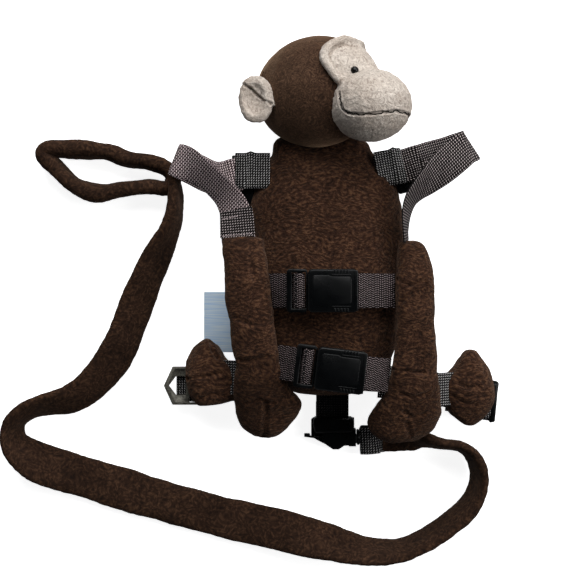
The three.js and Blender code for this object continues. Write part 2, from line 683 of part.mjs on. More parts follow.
// Waist straps: a run on the floor under each foot, turned back through a ring or a lock into it
const ringOutline = [[-16, 0], [-9.3, -0.43 * ringHeight], [13, -0.43 * ringHeight], [13, 0.43 * ringHeight],
  [-9.3, 0.43 * ringHeight]];
const ringRecess = ringOutline.map(([x, y]) => [x * 0.82 + (x > 0 ? 0 : 0.4), y * 0.86]);
const ringWindow = [[-12.2, 0], [-6.8, -7.2], [1, -7.2], [1, 7.2], [-6.8, 7.2]];
const ringSlot = rectangle(3.6, 10, -slotHalf + 0.1, slotHalf - 0.1);
const sideRing = plate(ringOutline, [ringWindow, ringSlot], ringThickness)
  .subtract(plate(ringRecess, [], 2, ringThickness / 2));
const ringLevel = 8.2 + gap + ringThickness / 2 + 1.3;
const ringAt = new THREE.Vector3(outX(-1.93), upY(-0.466), ringLevel);
const ringMesh = add('side_ring', sideRing, greyMetal);
ringMesh.position.copy(ringAt);

const lockAt = new THREE.Vector3(outX(2.16), upY(-0.522), 9);
const lockTurn = -9;
const sideLock = add('side_lock', lock, plastic);
sideLock.position.copy(lockAt);
sideLock.rotation.z = THREE.MathUtils.degToRad(lockTurn);

const waistRight = [[outX(-0.72), 10], [outX(-1.05), 6], [outX(-1.4), 4], [ringAt.x + 0.5, 4],
  [ringAt.x - 4.6, 4.4], [ringAt.x - 6.1, 6.1], [ringAt.x - 4.6, 7.8], [ringAt.x - 1, 8.2],
  [ringAt.x + 3.4, 8.6], [ringAt.x + 6, 10.2], [ringAt.x + 7.6, 12.4], [ringAt.x + 10.4, 15],
  [ringAt.x + 15, 18], [ringAt.x + 21, 22]]
  .map(([x, z]) => ({ x, y: ringAt.y, z, facing: 90, lean: 0 }));
add('waist_webbing_right', whole(strap(waistRight, webbingWidth, webbingThickness, { steps: 1 })
  .subtract(torsoClear).subtract(limbsClear.right.foot)), darkWeave);
const waistTurn = THREE.MathUtils.degToRad(lockTurn);
const waistLeft = [
  { x: outX(0.74), y: upY(-0.45), z: 10, facing: 92, lean: 0 },
  { x: outX(1.15), y: upY(-0.46), z: 5, facing: 89, lean: 0 },
  { x: outX(1.6), y: upY(-0.485), z: 3.2, facing: 84, lean: 0 },
  ...[[-13, -5.4], [-6, -4.2], [1, -3.9], [3.6, -2.6], [4.9, -0.2], [4.2, 1.8], [2, 2.7], [-4, 3.5],
    [-12, 4.2], [-20, 7], [-28, 12]].map(([x, z]) => ({
    x: lockAt.x + x * Math.cos(waistTurn),
    y: lockAt.y + x * Math.sin(waistTurn),
    z: lockAt.z + z,
    facing: 90 + lockTurn,
    lean: 0,
  })),
];
add('waist_webbing_left', whole(strap(waistLeft, webbingWidth, webbingThickness, { steps: 1 })
  .subtract(torsoClear).subtract(limbsClear.left.foot)), darkWeave);

// Short straps from each hand's root to the foot beside it
const links = {
  right: [[-0.93, 0.86], [-1.15, 0.79], [-1.32, 0.67], [-1.57, 0.56]],
  left: [[1.3, 0.9], [1.5, 0.8], [1.64, 0.67], [1.85, 0.56]],
};
const linkUp = { right: -0.42, left: -0.468 };
for (const [side, link] of Object.entries(links)) {
  const path = link.map(([out, level]) => ({
    x: outX(out), y: upY(linkUp[side]), z: riseZ(level), facing: 90, lean: 0,
  }));
  const clear = limbsClear[side];
  add(`side_webbing_${side}`, whole(strap(path, webbingWidth, webbingThickness, { steps: 2 })
    .subtract(clear.hand).subtract(clear.foot).subtract(clear.sleeve)), weave);
}

// Snap hook, lying flat below the seat: a bow for the tether's webbing, closed by a sprung lever
const bowBar = 3.8;
const tetherX = 0.1 * torsoWidth / 2;
const bowTop = -0.6 * torsoLength;
const bow = { left: tetherX - slotHalf - 3.2, right: tetherX + slotHalf + 4, slot: 5.8 };
const railTop = bowTop - bowBar - bow.slot;
const railBottom = railTop - 4;
const hookMiddle = 3 + hookThickness / 2;
const pivotRadius = 1.5;
const mouthLeft = tetherX - slotHalf;
const bowPlate = plate([
  [bow.right, bowTop], [bow.left + 1.5, bowTop], [bow.left, bowTop - 1.5], [bow.left, railBottom],
  [mouthLeft, railBottom], [mouthLeft, bowTop - bowBar], [tetherX + slotHalf, bowTop - bowBar],
  [tetherX + slotHalf, railTop], [mouthLeft + 6.4, railTop], [mouthLeft + 6.4, railBottom],
  [bow.right, railBottom],
], [], hookThickness, hookMiddle);
const pivot = new THREE.Vector2(tetherX + 3.6, railBottom - 4.7);
const cheek = [[bow.right, railTop - 1], [bow.right, pivot.y - 2.4], [pivot.x + 5.5, pivot.y - 3],
  [pivot.x + 1.4, pivot.y - 5.8], [pivot.x - 3, pivot.y - 5.8], [pivot.x - 8, pivot.y - 2.5],
  [pivot.x - 11, pivot.y + 1], [pivot.x - 11, railTop - 1]];
const cheekLow = plate(cheek, [], 2, hookMiddle - hookThickness / 2 - 0.8);
const cheekHigh = plate(cheek, [], 2, hookMiddle + hookThickness / 2 + 0.8);
const barrel = block(5.5, 13.4, 9.6, bow.right - 1.5, railBottom - 1.5, hookMiddle);
const leverPin = new THREE.CylinderGeometry(pivotRadius, pivotRadius, hookThickness + 2, 12);
leverPin.rotateX(Math.PI / 2);
leverPin.translate(pivot.x, pivot.y, hookMiddle);
add('hook_body', bowPlate.add(cheekLow).add(cheekHigh).add(barrel).add(solid(leverPin)), plastic);

const bore = new THREE.CylinderGeometry(pivotRadius + gap, pivotRadius + gap, hookThickness + 2, 12);
bore.rotateX(Math.PI / 2);
bore.translate(pivot.x, pivot.y, hookMiddle);
const leverTip = bow.left - 5.4;
const leverEdge = railBottom - gap - 0.2;
add('hook_lever', plate([
  [leverTip, leverEdge + 1.8], [leverTip, leverEdge - 0.6], [bow.left + 2, leverEdge - 1.6],
  [pivot.x - 12, pivot.y - 0.6], [pivot.x - 6, pivot.y - 3.6], [pivot.x - 1, pivot.y - 4.8],
  [pivot.x + 3, pivot.y - 3], [pivot.x + 4.4, pivot.y], [pivot.x + 3, pivot.y + 3],
  [pivot.x, leverEdge], [bow.left - 0.6, leverEdge], [bow.left - 1.2, leverEdge + 1.8],
], [], hookThickness - 1.2, hookMiddle).subtract(solid(bore)), plastic);

const tetherOver = hookMiddle + hookThickness / 2 + gap + webbingThickness / 2;
const tetherUnder = hookMiddle - hookThickness / 2 - gap - webbingThickness / 2 - 0.1;
const slotMiddle = bowTop - bowBar - bow.slot / 2 + 0.1;
const tether = [
  [-0.43 * torsoLength, 15], [-0.5 * torsoLength, 12.5],
  [bowTop + 4, tetherOver + 0.6], [bowTop, tetherOver + 0.2],
  [bowTop - bowBar - 0.2, tetherOver], [slotMiddle + 0.4, tetherOver - 1.5], [slotMiddle, hookMiddle],
  [slotMiddle + 0.5, tetherUnder + 1.6], [bowTop - bowBar - 0.2, tetherUnder], [bowTop, tetherUnder],
  [bowTop + 12, tetherUnder],
].map(([y, z]) => ({ x: tetherX, y, z, facing: 0, lean: 0 }));
add('tether_webbing', whole(strap(tether, webbingWidth, webbingThickness, { steps: 1 })
  .subtract(torsoClear)), darkWeave);

// Swivel eye and the lead's webbing tab
const swivelX = bow.right + 1.25 + gap;
const swivelY = railBottom - 1.5;
const collar = new THREE.CylinderGeometry(4.6, 5, 3.4, 12);
collar.rotateZ(Math.PI / 2);
collar.translate(swivelX + 1.7, swivelY, hookMiddle);
const eyeHalf = tabWidth / 2 + 0.6;
const eyeThickness = 4;
const eyeRim = 2.2;
const eyePlate = plate(
  rectangle(swivelX + 3, swivelX + 12.6, swivelY - eyeHalf - eyeRim, swivelY + eyeHalf + eyeRim, 1.6),
  [rectangle(swivelX + 5.6, swivelX + 9.8, swivelY - eyeHalf, swivelY + eyeHalf)],
  eyeThickness,
  hookMiddle,
);
add('swivel_eye', solid(collar).add(eyePlate), plastic);
const tabOver = hookMiddle + eyeThickness / 2 + gap + webbingThickness / 2 + 0.1;
const tabUnder = hookMiddle - eyeThickness / 2 - gap - webbingThickness / 2 - 0.1;
const leadStart = swivelX + 20;
const tab = [[leadStart - gap, tabOver - 1.4], [swivelX + 14, tabOver], [swivelX + 9.8, tabOver],
  [swivelX + 8, tabOver - 1.2], [swivelX + 7.6, hookMiddle], [swivelX + 8, tabUnder + 1.2],
  [swivelX + 9.8, tabUnder], [swivelX + 14, tabUnder], [leadStart - gap, tabUnder - 0.4]]
  .map(([x, z]) => ({ x, y: swivelY, z, facing: 90, lean: 0 }));
add('tail_tab', strap(tab, tabWidth, webbingThickness, { steps: 1 }), darkWeave);

// The tail is a plush-covered lead. It lies free on the floor, flat in places and on edge in others.
// Its turns are shares of half the torso's width and of its length, as the limbs' places are.
const leadRoute = [
  { x: leadStart, y: swivelY, lean: 0 },
  { x: leadStart + 4, y: swivelY, lean: 0 },
  { x: leadStart + 8, y: swivelY - 0.4, lean: 4 },
  { x: leadStart + 18, y: swivelY - 6, lean: 26 },
  ...[
    { out: 1.286, up: -0.7447, lean: 56 },
    { out: 1.589, up: -0.7367, lean: 80 },
    { out: 1.875, up: -0.734, lean: 82 },
    { out: 2.054, up: -0.7766, lean: 80 },
    { out: 2.107, up: -0.8511, lean: 78 },
    { out: 2.000, up: -0.9362, lean: 76 },
    { out: 1.732, up: -1.016, lean: 74 },
    { out: 1.393, up: -1.0851, lean: 74 },
    { out: 1.000, up: -1.133, lean: 72 },
    { out: 0.554, up: -1.1356, lean: 64 },
    { out: 0.000, up: -1.0984, lean: 42 },
    { out: -0.625, up: -1.0585, lean: 18 },
    { out: -1.321, up: -1.016, lean: 5 },
    { out: -2.375, up: -0.9309, lean: 4 },
    { out: -3.393, up: -0.8378, lean: 8 },
    { out: -3.911, up: -0.7819, lean: 30 },
    { out: -4.214, up: -0.7128, lean: 62 },
    { out: -4.268, up: -0.633, lean: 74 },
    { out: -4.107, up: -0.5745, lean: 70 },
    { out: -3.821, up: -0.5426, lean: 60 },
    { out: -3.464, up: -0.516, lean: 45 },
    { out: -3.107, up: -0.4362, lean: 30 },
    { out: -2.804, up: -0.3032, lean: 14 },
    { out: -2.562, up: -0.117, lean: 5 },
    { out: -2.339, up: 0.0585, lean: 10 },
    { out: -2.179, up: 0.1649, lean: 34 },
    { out: -2.107, up: 0.2394, lean: 56 },
    { out: -2.107, up: 0.3191, lean: 68 },
  ].map(({ out, up, lean }) => ({ x: outX(out), y: upY(up), lean })),
];
const standing = (width, thickness, lean) => {
  const angle = THREE.MathUtils.degToRad(Math.abs(lean));
  return (width * Math.sin(angle) + thickness * Math.cos(angle)) / 2 + 0.5;
};
const leadPath = leadRoute.map((row) => ({ ...row, z: standing(leadWidth, leadThickness, row.lean) }));
const leadGrown = (by) => strap(leadPath, leadWidth + 2 * by, leadThickness + 2 * by, { steps: 2, sides: 10 });
add('tail_lead', leadGrown(0), plush);

// Its end is sewn into a rolled loop for the hand, standing on edge
const loopWidth = 0.65 * leadWidth;
const loopThickness = 1.2 * leadThickness;
const loopLean = 84;
const handLoopRoute = [
  [-2.161, 0.3431], [-2.411, 0.3484], [-2.750, 0.3378], [-3.089, 0.3218], [-3.375, 0.3431],
  [-3.571, 0.3856], [-3.714, 0.4282], [-3.857, 0.4707], [-3.804, 0.5000], [-3.500, 0.5027],
  [-3.089, 0.4947], [-2.714, 0.4654], [-2.411, 0.4468], [-2.179, 0.4202], [-2.080, 0.3803],
].map(([out, up]) => (
  { x: outX(out), y: upY(up), lean: loopLean, z: standing(loopWidth, loopThickness, loopLean) }));
const handLoop = strap(handLoopRoute, loopWidth, loopThickness, { steps: 2, sides: 8, loop: true });
add('hand_loop', whole(handLoop.subtract(leadGrown(gap))), plush);

// Care label: a bare satin tab sewn into the side seam
const labelPath = [[-0.8, 0.42], [-1.1, 0.38], [-1.4, 0.3], [-1.66, 0.24]].map(([out, level]) => ({
  x: outX(out), y: upY(-0.205), z: riseZ(level), facing: 90, lean: 0,
}));
const label = strap(labelPath, labelWidth, labelThickness, { steps: 2 });
add('care_label', whole(label.subtract(torsoClear)), satin);

// The origin is under the middle of what isn't the lead, on the floor
const onLead = ['tail_lead', 'hand_loop', 'tail_tab'];
object.updateMatrixWorld(true);
const extent = new THREE.Box3();
object.traverse((piece) => {
  if (piece.isMesh && !onLead.includes(piece.name)) extent.expandByObject(piece, true);
});
const middle = extent.getCenter(new THREE.Vector3());
object.position.set(-middle.x, -middle.y, -extent.min.z);

export default object;
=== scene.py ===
# Plush monkey harness for a toddler, lying belly up on a pale floor, seen from straight above.
import math

import bpy
import numpy as np
from mathutils import Matrix, Vector, noise
from mathutils.bvhtree import BVHTree
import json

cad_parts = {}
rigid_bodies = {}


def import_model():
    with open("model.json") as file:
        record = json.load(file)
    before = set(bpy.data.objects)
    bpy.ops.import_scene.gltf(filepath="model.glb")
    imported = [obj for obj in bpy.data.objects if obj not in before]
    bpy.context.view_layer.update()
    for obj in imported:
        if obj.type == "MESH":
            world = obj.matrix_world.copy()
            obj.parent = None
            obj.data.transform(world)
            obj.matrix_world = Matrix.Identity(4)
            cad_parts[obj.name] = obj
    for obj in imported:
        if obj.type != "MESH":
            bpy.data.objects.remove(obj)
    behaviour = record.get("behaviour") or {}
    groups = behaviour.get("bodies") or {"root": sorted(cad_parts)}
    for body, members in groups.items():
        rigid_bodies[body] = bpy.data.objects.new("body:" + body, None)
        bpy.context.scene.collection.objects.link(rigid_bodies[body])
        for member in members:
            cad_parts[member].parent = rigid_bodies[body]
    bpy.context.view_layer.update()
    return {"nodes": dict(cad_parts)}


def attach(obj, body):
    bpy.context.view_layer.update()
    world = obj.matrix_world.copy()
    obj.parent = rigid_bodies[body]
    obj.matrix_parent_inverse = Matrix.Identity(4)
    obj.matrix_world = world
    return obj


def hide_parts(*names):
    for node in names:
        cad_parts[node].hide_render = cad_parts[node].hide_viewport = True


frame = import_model()
print("stage: frame loaded")


# The photograph's view: the camera's place and the picture's width on the floor in metres, straight down
view = {"place": (-0.0303, -0.0304, 0.9), "width": 0.4524, "pixels": 580, "sensor": 36.0}


def placeCamera():
    data = bpy.data.cameras.new("photoCamera")
    data.sensor_width = view["sensor"]
    data.lens = view["sensor"] * view["place"][2] / view["width"]
    data.clip_start = 0.05
    camera = bpy.data.objects.new("photoCamera", data)
    camera.location = view["place"]
    bpy.context.scene.collection.objects.link(camera)
    bpy.context.scene.camera = camera


placeCamera()
bpy.context.scene.view_settings.view_transform = "Standard"


def pixelPlace(column, row, height):
    # where the photograph's pixel lies at this height, in metres
    x, y, eyeHeight = view["place"]
    half = view["pixels"] / 2
    size = view["width"] / view["pixels"] * (1 - height / eyeHeight)
    return Vector((x + (column - half) * size, y + (half - row) * size, height))


# Small helpers
def deselectAll():
    if bpy.context.view_layer.objects.active and bpy.context.view_layer.objects.active.mode != "OBJECT":
        bpy.ops.object.mode_set(mode="OBJECT")
    bpy.ops.object.select_all(action="DESELECT")


def pick(piece):
    deselectAll()
    piece.select_set(True)
    bpy.context.view_layer.objects.active = piece


def finishWith(piece, kind, **settings):
    pick(piece)
    modifier = piece.modifiers.new(kind.title(), kind)
    for name, value in settings.items():
        setattr(modifier, name, value)
    bpy.ops.object.modifier_apply(modifier=modifier.name)


def newMesh(name, points, faces):
    mesh = bpy.data.meshes.new(name)
    mesh.from_pydata([tuple(p) for p in points], [], faces)
    mesh.update()
    piece = bpy.data.objects.new(name, mesh)
    bpy.context.scene.collection.objects.link(piece)
    return piece


def faceOutward(piece, merge=False):
    # turns all faces outward, after merging the corners that lie on one spot if asked
    pick(piece)
    bpy.ops.object.mode_set(mode="EDIT")
    bpy.ops.mesh.select_all(action="SELECT")
    if merge:
        bpy.ops.mesh.remove_doubles(threshold=0.00002)
    bpy.ops.mesh.normals_make_consistent(inside=False)
    bpy.ops.object.mode_set(mode="OBJECT")


def copyOf(node, name):
    # the frame's solid as a loose piece, with its corners merged
    piece = frame["nodes"][node].copy()
    piece.data = piece.data.copy()
    piece.name = name
    for key in list(piece.keys()):
        del piece[key]
    piece.parent = None
    piece.matrix_world = Matrix.Identity(4)
    bpy.context.scene.collection.objects.link(piece)
    piece.hide_render = False
    piece.hide_viewport = False
    faceOutward(piece, merge=True)
    piece.data.materials.clear()
    return piece


def wear(piece, material, body="harness", nodes=()):
    piece.data.materials.clear()
    piece.data.materials.append(material)
    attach(piece, body)
    if nodes:
        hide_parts(*nodes)
    return piece


def smoothShade(piece, angle=180):
    pick(piece)
    if angle >= 180:
        bpy.ops.object.shade_smooth()
    else:
        bpy.ops.object.shade_smooth_by_angle(angle=math.radians(angle))


def roundEdges(piece, edge, steepest):
    # joins each flat side's faces, then rounds the edges that stay sharp; edge in mm, steepest in degrees
    pick(piece)
    bpy.ops.object.mode_set(mode="EDIT")
    bpy.ops.mesh.select_all(action="SELECT")
    bpy.ops.mesh.dissolve_limited(angle_limit=math.radians(1.5))
    bpy.ops.object.mode_set(mode="OBJECT")
    finishWith(piece, "BEVEL", width=edge / 1000, segments=2, limit_method="ANGLE",
               angle_limit=math.radians(steepest))


# Materials
def linear(code):
    parts = [int(code[i:i + 2], 16) / 255 for i in (1, 3, 5)]
    return tuple(p / 12.92 if p <= 0.04045 else ((p + 0.055) / 1.055) ** 2.4 for p in parts) + (1.0,)


def addNode(tree, kind, inputs=None, **settings):
    node = tree.nodes.new(kind)
    for name, value in settings.items():
        setattr(node, name, value)
    for key, value in (inputs or {}).items():
        if isinstance(value, bpy.types.NodeSocket):
            tree.links.new(value, node.inputs[key])
        else:
            node.inputs[key].default_value = value
    return node


def startMaterial(name):
    material = bpy.data.materials.new(name)
    material.use_nodes = True
    tree = material.node_tree
    return material, tree, tree.nodes["Principled BSDF"]


def colourBand(tree, factor, stops):
    band = addNode(tree, "ShaderNodeValToRGB", {"Fac": factor})
    for i, (place, colour) in enumerate(stops):
        stop = band.color_ramp.elements[i] if i < 2 else band.color_ramp.elements.new(place)
        stop.position = place
        stop.color = linear(colour)
    return band.outputs["Color"]


def noiseFrom(tree, place, scale, detail, **more):
    inputs = {"Vector": place, "Scale": scale, "Detail": detail, **more}
    return addNode(tree, "ShaderNodeTexNoise", inputs).outputs


def reckon(tree, operation, *values):
    return addNode(tree, "ShaderNodeMath", dict(enumerate(values)), operation=operation).outputs["Value"]


def raiseBy(tree, shader, height, strength, depth):
    # relief of this depth in metres
    bump = addNode(tree, "ShaderNodeBump", {"Height": height, "Strength": strength, "Distance": depth})
    tree.links.new(bump.outputs["Normal"], shader.inputs["Normal"])


# Polyester minky plush: a short knitted pile, brushed by hands, that lies in small waves. Sizes in mm
def minkyPlush(name, settings):
    material, tree, shader = startMaterial(name)
    place = addNode(tree, "ShaderNodeTexCoord").outputs["Object"]
    warp = noiseFrom(tree, place, 1000 / settings["warpSize"], 1.0)["Color"]
    bent = addNode(tree, "ShaderNodeMixRGB", {"Fac": 0.012, "Color1": place, "Color2": warp})
    lay = addNode(tree, "ShaderNodeMapping", {"Vector": bent.outputs["Color"], "Scale": settings["layScale"]})
    waves = noiseFrom(tree, lay.outputs["Vector"], 1000 / settings["waveSize"], 3.0, Roughness=0.55)["Fac"]
    pile = noiseFrom(tree, place, 1000 / settings["pileSize"], 2.0)["Fac"]
    patches = noiseFrom(tree, place, 1000 / settings["patchSize"], 2.0, Distortion=0.6)["Fac"]
    # the waves' colour runs dark where the pile dips and light where it stands up, because the same waves
    # raise the relief: painted shade in the pile's furrows, laid over its random tone
    mixed = addNode(tree, "ShaderNodeMixRGB", {
        "Fac": settings["patchShare"],
        "Color1": colourBand(tree, waves, settings["tones"]),
        "Color2": colourBand(tree, patches, settings["patchTones"])}, blend_type="MULTIPLY")
    tree.links.new(mixed.outputs["Color"], shader.inputs["Base Color"])
    height = reckon(tree, "MULTIPLY_ADD", pile, 0.28, reckon(tree, "MULTIPLY", waves, 0.72))
    raiseBy(tree, shader, height, settings["bump"], settings["bumpDepth"] / 1000)
    shader.inputs["Roughness"].default_value = 0.92
    shader.inputs["Specular IOR Level"].default_value = 0.12
    shader.inputs["Sheen Weight"].default_value = settings["sheen"]
    shader.inputs["Sheen Roughness"].default_value = 0.42
    shader.inputs["Sheen Tint"].default_value = linear(settings["sheenTint"])
    return material


brownPlush = minkyPlush("brownMinkyPlush", {
    "warpSize": 20, "layScale": (0.55, 1.0, 0.8), "waveSize": 1.6, "pileSize": 0.6, "patchSize": 30,
    "tones": [(0.3, "#1b100a"), (0.5, "#3b261b"), (0.7, "#654732")],
    "patchTones": [(0.35, "#c4bdb8"), (0.65, "#ffffff")], "patchShare": 0.6,
    "bump": 1.0, "bumpDepth": 2.2, "sheen": 0.3, "sheenTint": "#b59a86"})
headPlush = minkyPlush("sleekMinkyPlush", {
    "warpSize": 10, "layScale": (1.0, 1.0, 1.0), "waveSize": 1.3, "pileSize": 0.6, "patchSize": 34,
    "tones": [(0.32, "#291c14"), (0.5, "#453125"), (0.68, "#684d3b")],
    "patchTones": [(0.35, "#c8c1bc"), (0.65, "#ffffff")], "patchShare": 0.6,
    "bump": 0.5, "bumpDepth": 0.6, "sheen": 0.75, "sheenTint": "#c8a686"})
leadPlush = minkyPlush("darkMinkyPlush", {
    "warpSize": 12, "layScale": (1.0, 1.0, 1.0), "waveSize": 2.2, "pileSize": 0.7, "patchSize": 30,
    "tones": [(0.28, "#1a100b"), (0.5, "#322117"), (0.72, "#4f3828")],
    "patchTones": [(0.35, "#bdb9b6"), (0.65, "#ffffff")], "patchShare": 0.6,
    "bump": 0.6, "bumpDepth": 0.9, "sheen": 0.22, "sheenTint": "#a88c78"})
# Beige boucle-like pile of the face: short curls, matt and light
beigePile = minkyPlush("beigeCurledPile", {
    "warpSize": 6, "layScale": (1.0, 1.0, 1.0), "waveSize": 1.9, "pileSize": 0.7, "patchSize": 20,
    "tones": [(0.3, "#9a8f86"), (0.5, "#c2b7ac"), (0.72, "#dcd3c9")],
    "patchTones": [(0.35, "#e4ddd8"), (0.65, "#ffffff")], "patchShare": 0.6,
    "bump": 0.9, "bumpDepth": 1.3, "sheen": 0.15, "sheenTint": "#f4efe8"})


# Woven polypropylene webbing: light threads in zigzag rows over dark brown, on the strap's own map in mm
def wovenWebbing(name, settings):
    material, tree, shader = startMaterial(name)
    mapped = addNode(tree, "ShaderNodeUVMap", uv_map="weave").outputs["UV"]
    split = addNode(tree, "ShaderNodeSeparateXYZ", {"Vector": mapped}).outputs
    along, across = split[0], split[1]
    zigzag = reckon(tree, "PINGPONG", along, settings["zigzag"] / 2)
    lifted = reckon(tree, "MULTIPLY_ADD", zigzag, settings["swing"], across)
    rows = reckon(tree, "SINE", reckon(tree, "MULTIPLY", lifted, 2 * math.pi / settings["row"]))
    beats = reckon(tree, "SINE", reckon(tree, "MULTIPLY", along, 2 * math.pi / settings["thread"]))
    woven = reckon(tree, "MULTIPLY_ADD", beats, settings["beat"], rows)
    peak = 1 + settings["beat"]
    spread = addNode(tree, "ShaderNodeMapRange", {"Value": woven, "From Min": -peak, "From Max": peak})
    level = spread.outputs["Result"]
    fray = noiseFrom(tree, addNode(tree, "ShaderNodeTexCoord").outputs["Object"], 900.0, 2.0)["Fac"]
    worn = addNode(tree, "ShaderNodeMixRGB", {
        "Fac": 0.35,
        "Color1": colourBand(tree, level, settings["tones"]),
        "Color2": colourBand(tree, fray, [(0.3, "#6f6f6f"), (0.7, "#ffffff")])}, blend_type="MULTIPLY")
    tree.links.new(worn.outputs["Color"], shader.inputs["Base Color"])
    raiseBy(tree, shader, level, 0.9, settings["relief"] / 1000)
    shader.inputs["Roughness"].default_value = settings["roughness"]
    shader.inputs["Specular IOR Level"].default_value = 0.12
    return material


chestWebbing = wovenWebbing("greyBrownWebbing", {
    "zigzag": 4.6, "swing": 0.55, "row": 1.6, "thread": 1.2, "beat": 0.25, "relief": 0.5, "roughness": 0.62,
    "tones": [(0.64, "#0e0909"), (0.82, "#2c2223"), (0.98, "#c4b2b2")]})
dotted = {"zigzag": 1.9, "swing": 1.0, "row": 1.9, "thread": 1.9, "beat": 0.8, "relief": 0.5,
          "roughness": 0.62}
shoulderWebbing = wovenWebbing("dottedWebbing", {
    **dotted, "tones": [(0.45, "#2a1d1f"), (0.58, "#654f52"), (0.72, "#f2dfdf")]})
leftWebbing = wovenWebbing("dottedDarkWebbing", {
    **dotted, "tones": [(0.6, "#0c0808"), (0.75, "#302526"), (0.93, "#e6d8d6")]})
darkWebbing = wovenWebbing("blackWebbing", {
    **dotted, "relief": 0.45, "roughness": 0.6,
    "tones": [(0.56, "#070707"), (0.7, "#1e1c1c"), (0.86, "#c6c3c2")]})
tetherWebbing = wovenWebbing("tetherWebbing", {
    **dotted, "relief": 0.4, "roughness": 0.6,
    "tones": [(0.58, "#050505"), (0.75, "#100f0f"), (0.92, "#4d4a4a")]})


# Moulded acetal of the buckles: near black, satin, with the mould's fine spark grain.
# The beads and the threads are made the same way, with a gloss of their own
def mouldedPlastic(name, settings):
    material, tree, shader = startMaterial(name)
    place = addNode(tree, "ShaderNodeTexCoord").outputs["Object"]
    grain = noiseFrom(tree, place, 2200.0, 2.0)["Fac"]
    marks = noiseFrom(tree, place, 90.0, 3.0)["Fac"]
    tree.links.new(colourBand(tree, marks, settings["tones"]), shader.inputs["Base Color"])
    low, high = settings["gloss"]
    rough = addNode(tree, "ShaderNodeMapRange", {"Value": marks, "To Min": low, "To Max": high})
    tree.links.new(rough.outputs["Result"], shader.inputs["Roughness"])
    raiseBy(tree, shader, grain, 0.25, 0.0001)
    shader.inputs["IOR"].default_value = 1.48
    shader.inputs["Specular IOR Level"].default_value = settings["shine"]
    return material


blackAcetal = mouldedPlastic("blackAcetal", {
    "tones": [(0.3, "#030405"), (0.7, "#060708")], "gloss": (0.22, 0.34), "shine": 0.28})
glassBead = mouldedPlastic("polishedBlackBead", {
    "tones": [(0.3, "#050404"), (0.7, "#0d0a09")], "gloss": (0.16, 0.24), "shine": 0.3})
paleThread = mouldedPlastic("pinkishThread", {
    "tones": [(0.3, "#9c8a8a"), (0.7, "#c9baba")], "gloss": (0.6, 0.8), "shine": 0.3})
darkThread = mouldedPlastic("brownThread", {
    "tones": [(0.3, "#110c0a"), (0.7, "#1d1613")], "gloss": (0.7, 0.85), "shine": 0.2})


# Zinc die casting of the ladder ring: dull grey with small brighter patches
def castZinc():
    material, tree, shader = startMaterial("castZinc")
    place = addNode(tree, "ShaderNodeTexCoord").outputs["Object"]
    grain = noiseFrom(tree, place, 700.0, 4.0)["Fac"]
    tone = colourBand(tree, grain, [(0.35, "#4f4d45"), (0.65, "#7d7a70")])
    tree.links.new(tone, shader.inputs["Base Color"])
    rough = addNode(tree, "ShaderNodeMapRange", {"Value": grain, "To Min": 0.32, "To Max": 0.55})
    tree.links.new(rough.outputs["Result"], shader.inputs["Roughness"])
    raiseBy(tree, shader, grain, 0.3, 0.0002)
    shader.inputs["Metallic"].default_value = 0.4
    return material


# Satin ribbon of the sewn-in label: fine warp lines along it, a soft shine, bare
def labelSatin():
    material, tree, shader = startMaterial("paleBlueSatin")
    place = addNode(tree, "ShaderNodeTexCoord").outputs["Object"]
    thin = addNode(tree, "ShaderNodeMapping", {"Vector": place, "Scale": (40.0, 1400.0, 40.0)})
    warp = noiseFrom(tree, thin.outputs["Vector"], 1.0, 1.0)["Fac"]
    tone = colourBand(tree, warp, [(0.3, "#bcdcfb"), (0.7, "#e6f4ff")])
    tree.links.new(tone, shader.inputs["Base Color"])
    raiseBy(tree, shader, warp, 0.3, 0.0001)
    shader.inputs["Roughness"].default_value = 0.42
    shader.inputs["Sheen Weight"].default_value = 0.3
    return material


zinc = castZinc()
satin = labelSatin()
print("stage: materials")


# The lead, with its middle line and length measured
# route: x, y, z of the middle in metres, and the degrees that the band's width stands up from level.
# Its width waves a little all along. It is pinched over the first tabRows, fading over as many more, and
# more and more over the last loopRows
lead = {
    "width": 0.034, "thickness": 0.009, "steps": 14, "sides": 20,
    "pull": 0.93, "pullWave": 0.06, "tabRows": 40, "tabPinch": 0.28, "loopRows": 40, "loopPinch": 0.5,
    "route": [
        (0.0409, -0.1443, 0.0050, 0), (0.0449, -0.1441, 0.0050, 0), (0.0489, -0.1438, 0.0062, 6),
        (0.0589, -0.1437, 0.0120, 32), (0.0697, -0.1449, 0.0171, 62), (0.0857, -0.1480, 0.0180, 80),
        (0.1002, -0.1500, 0.0180, 82), (0.1102, -0.1589, 0.0180, 80), (0.1142, -0.1754, 0.0181, 78),
        (0.1087, -0.1924, 0.0181, 76), (0.0937, -0.2074, 0.0181, 74), (0.0747, -0.2204, 0.0181, 74),
        (0.0527, -0.2294, 0.0181, 72), (0.0277, -0.2299, 0.0178, 64), (-0.0033, -0.2229, 0.0152, 42),
        (-0.0383, -0.2154, 0.0100, 18), (-0.0773, -0.2074, 0.0065, 5), (-0.1363, -0.1914, 0.0062, 4),
        (-0.1933, -0.1739, 0.0073, 8), (-0.2223, -0.1634, 0.0129, 30), (-0.2393, -0.1504, 0.0176, 62),
        (-0.2423, -0.1354, 0.0181, 74), (-0.2333, -0.1244, 0.0180, 70), (-0.2173, -0.1184, 0.0175, 60),
        (-0.1973, -0.1134, 0.0157, 45), (-0.1773, -0.0984, 0.0145, 40), (-0.1603, -0.0734, 0.0145, 40),
        (-0.1468, -0.0384, 0.0151, 43), (-0.1325, -0.0054, 0.0172, 56), (-0.1226, 0.0146, 0.0182, 70),
        (-0.1183, 0.0286, 0.0185, 77), (-0.1176, 0.0436, 0.0186, 78), (-0.1188, 0.0530, 0.0180, 76)],
}
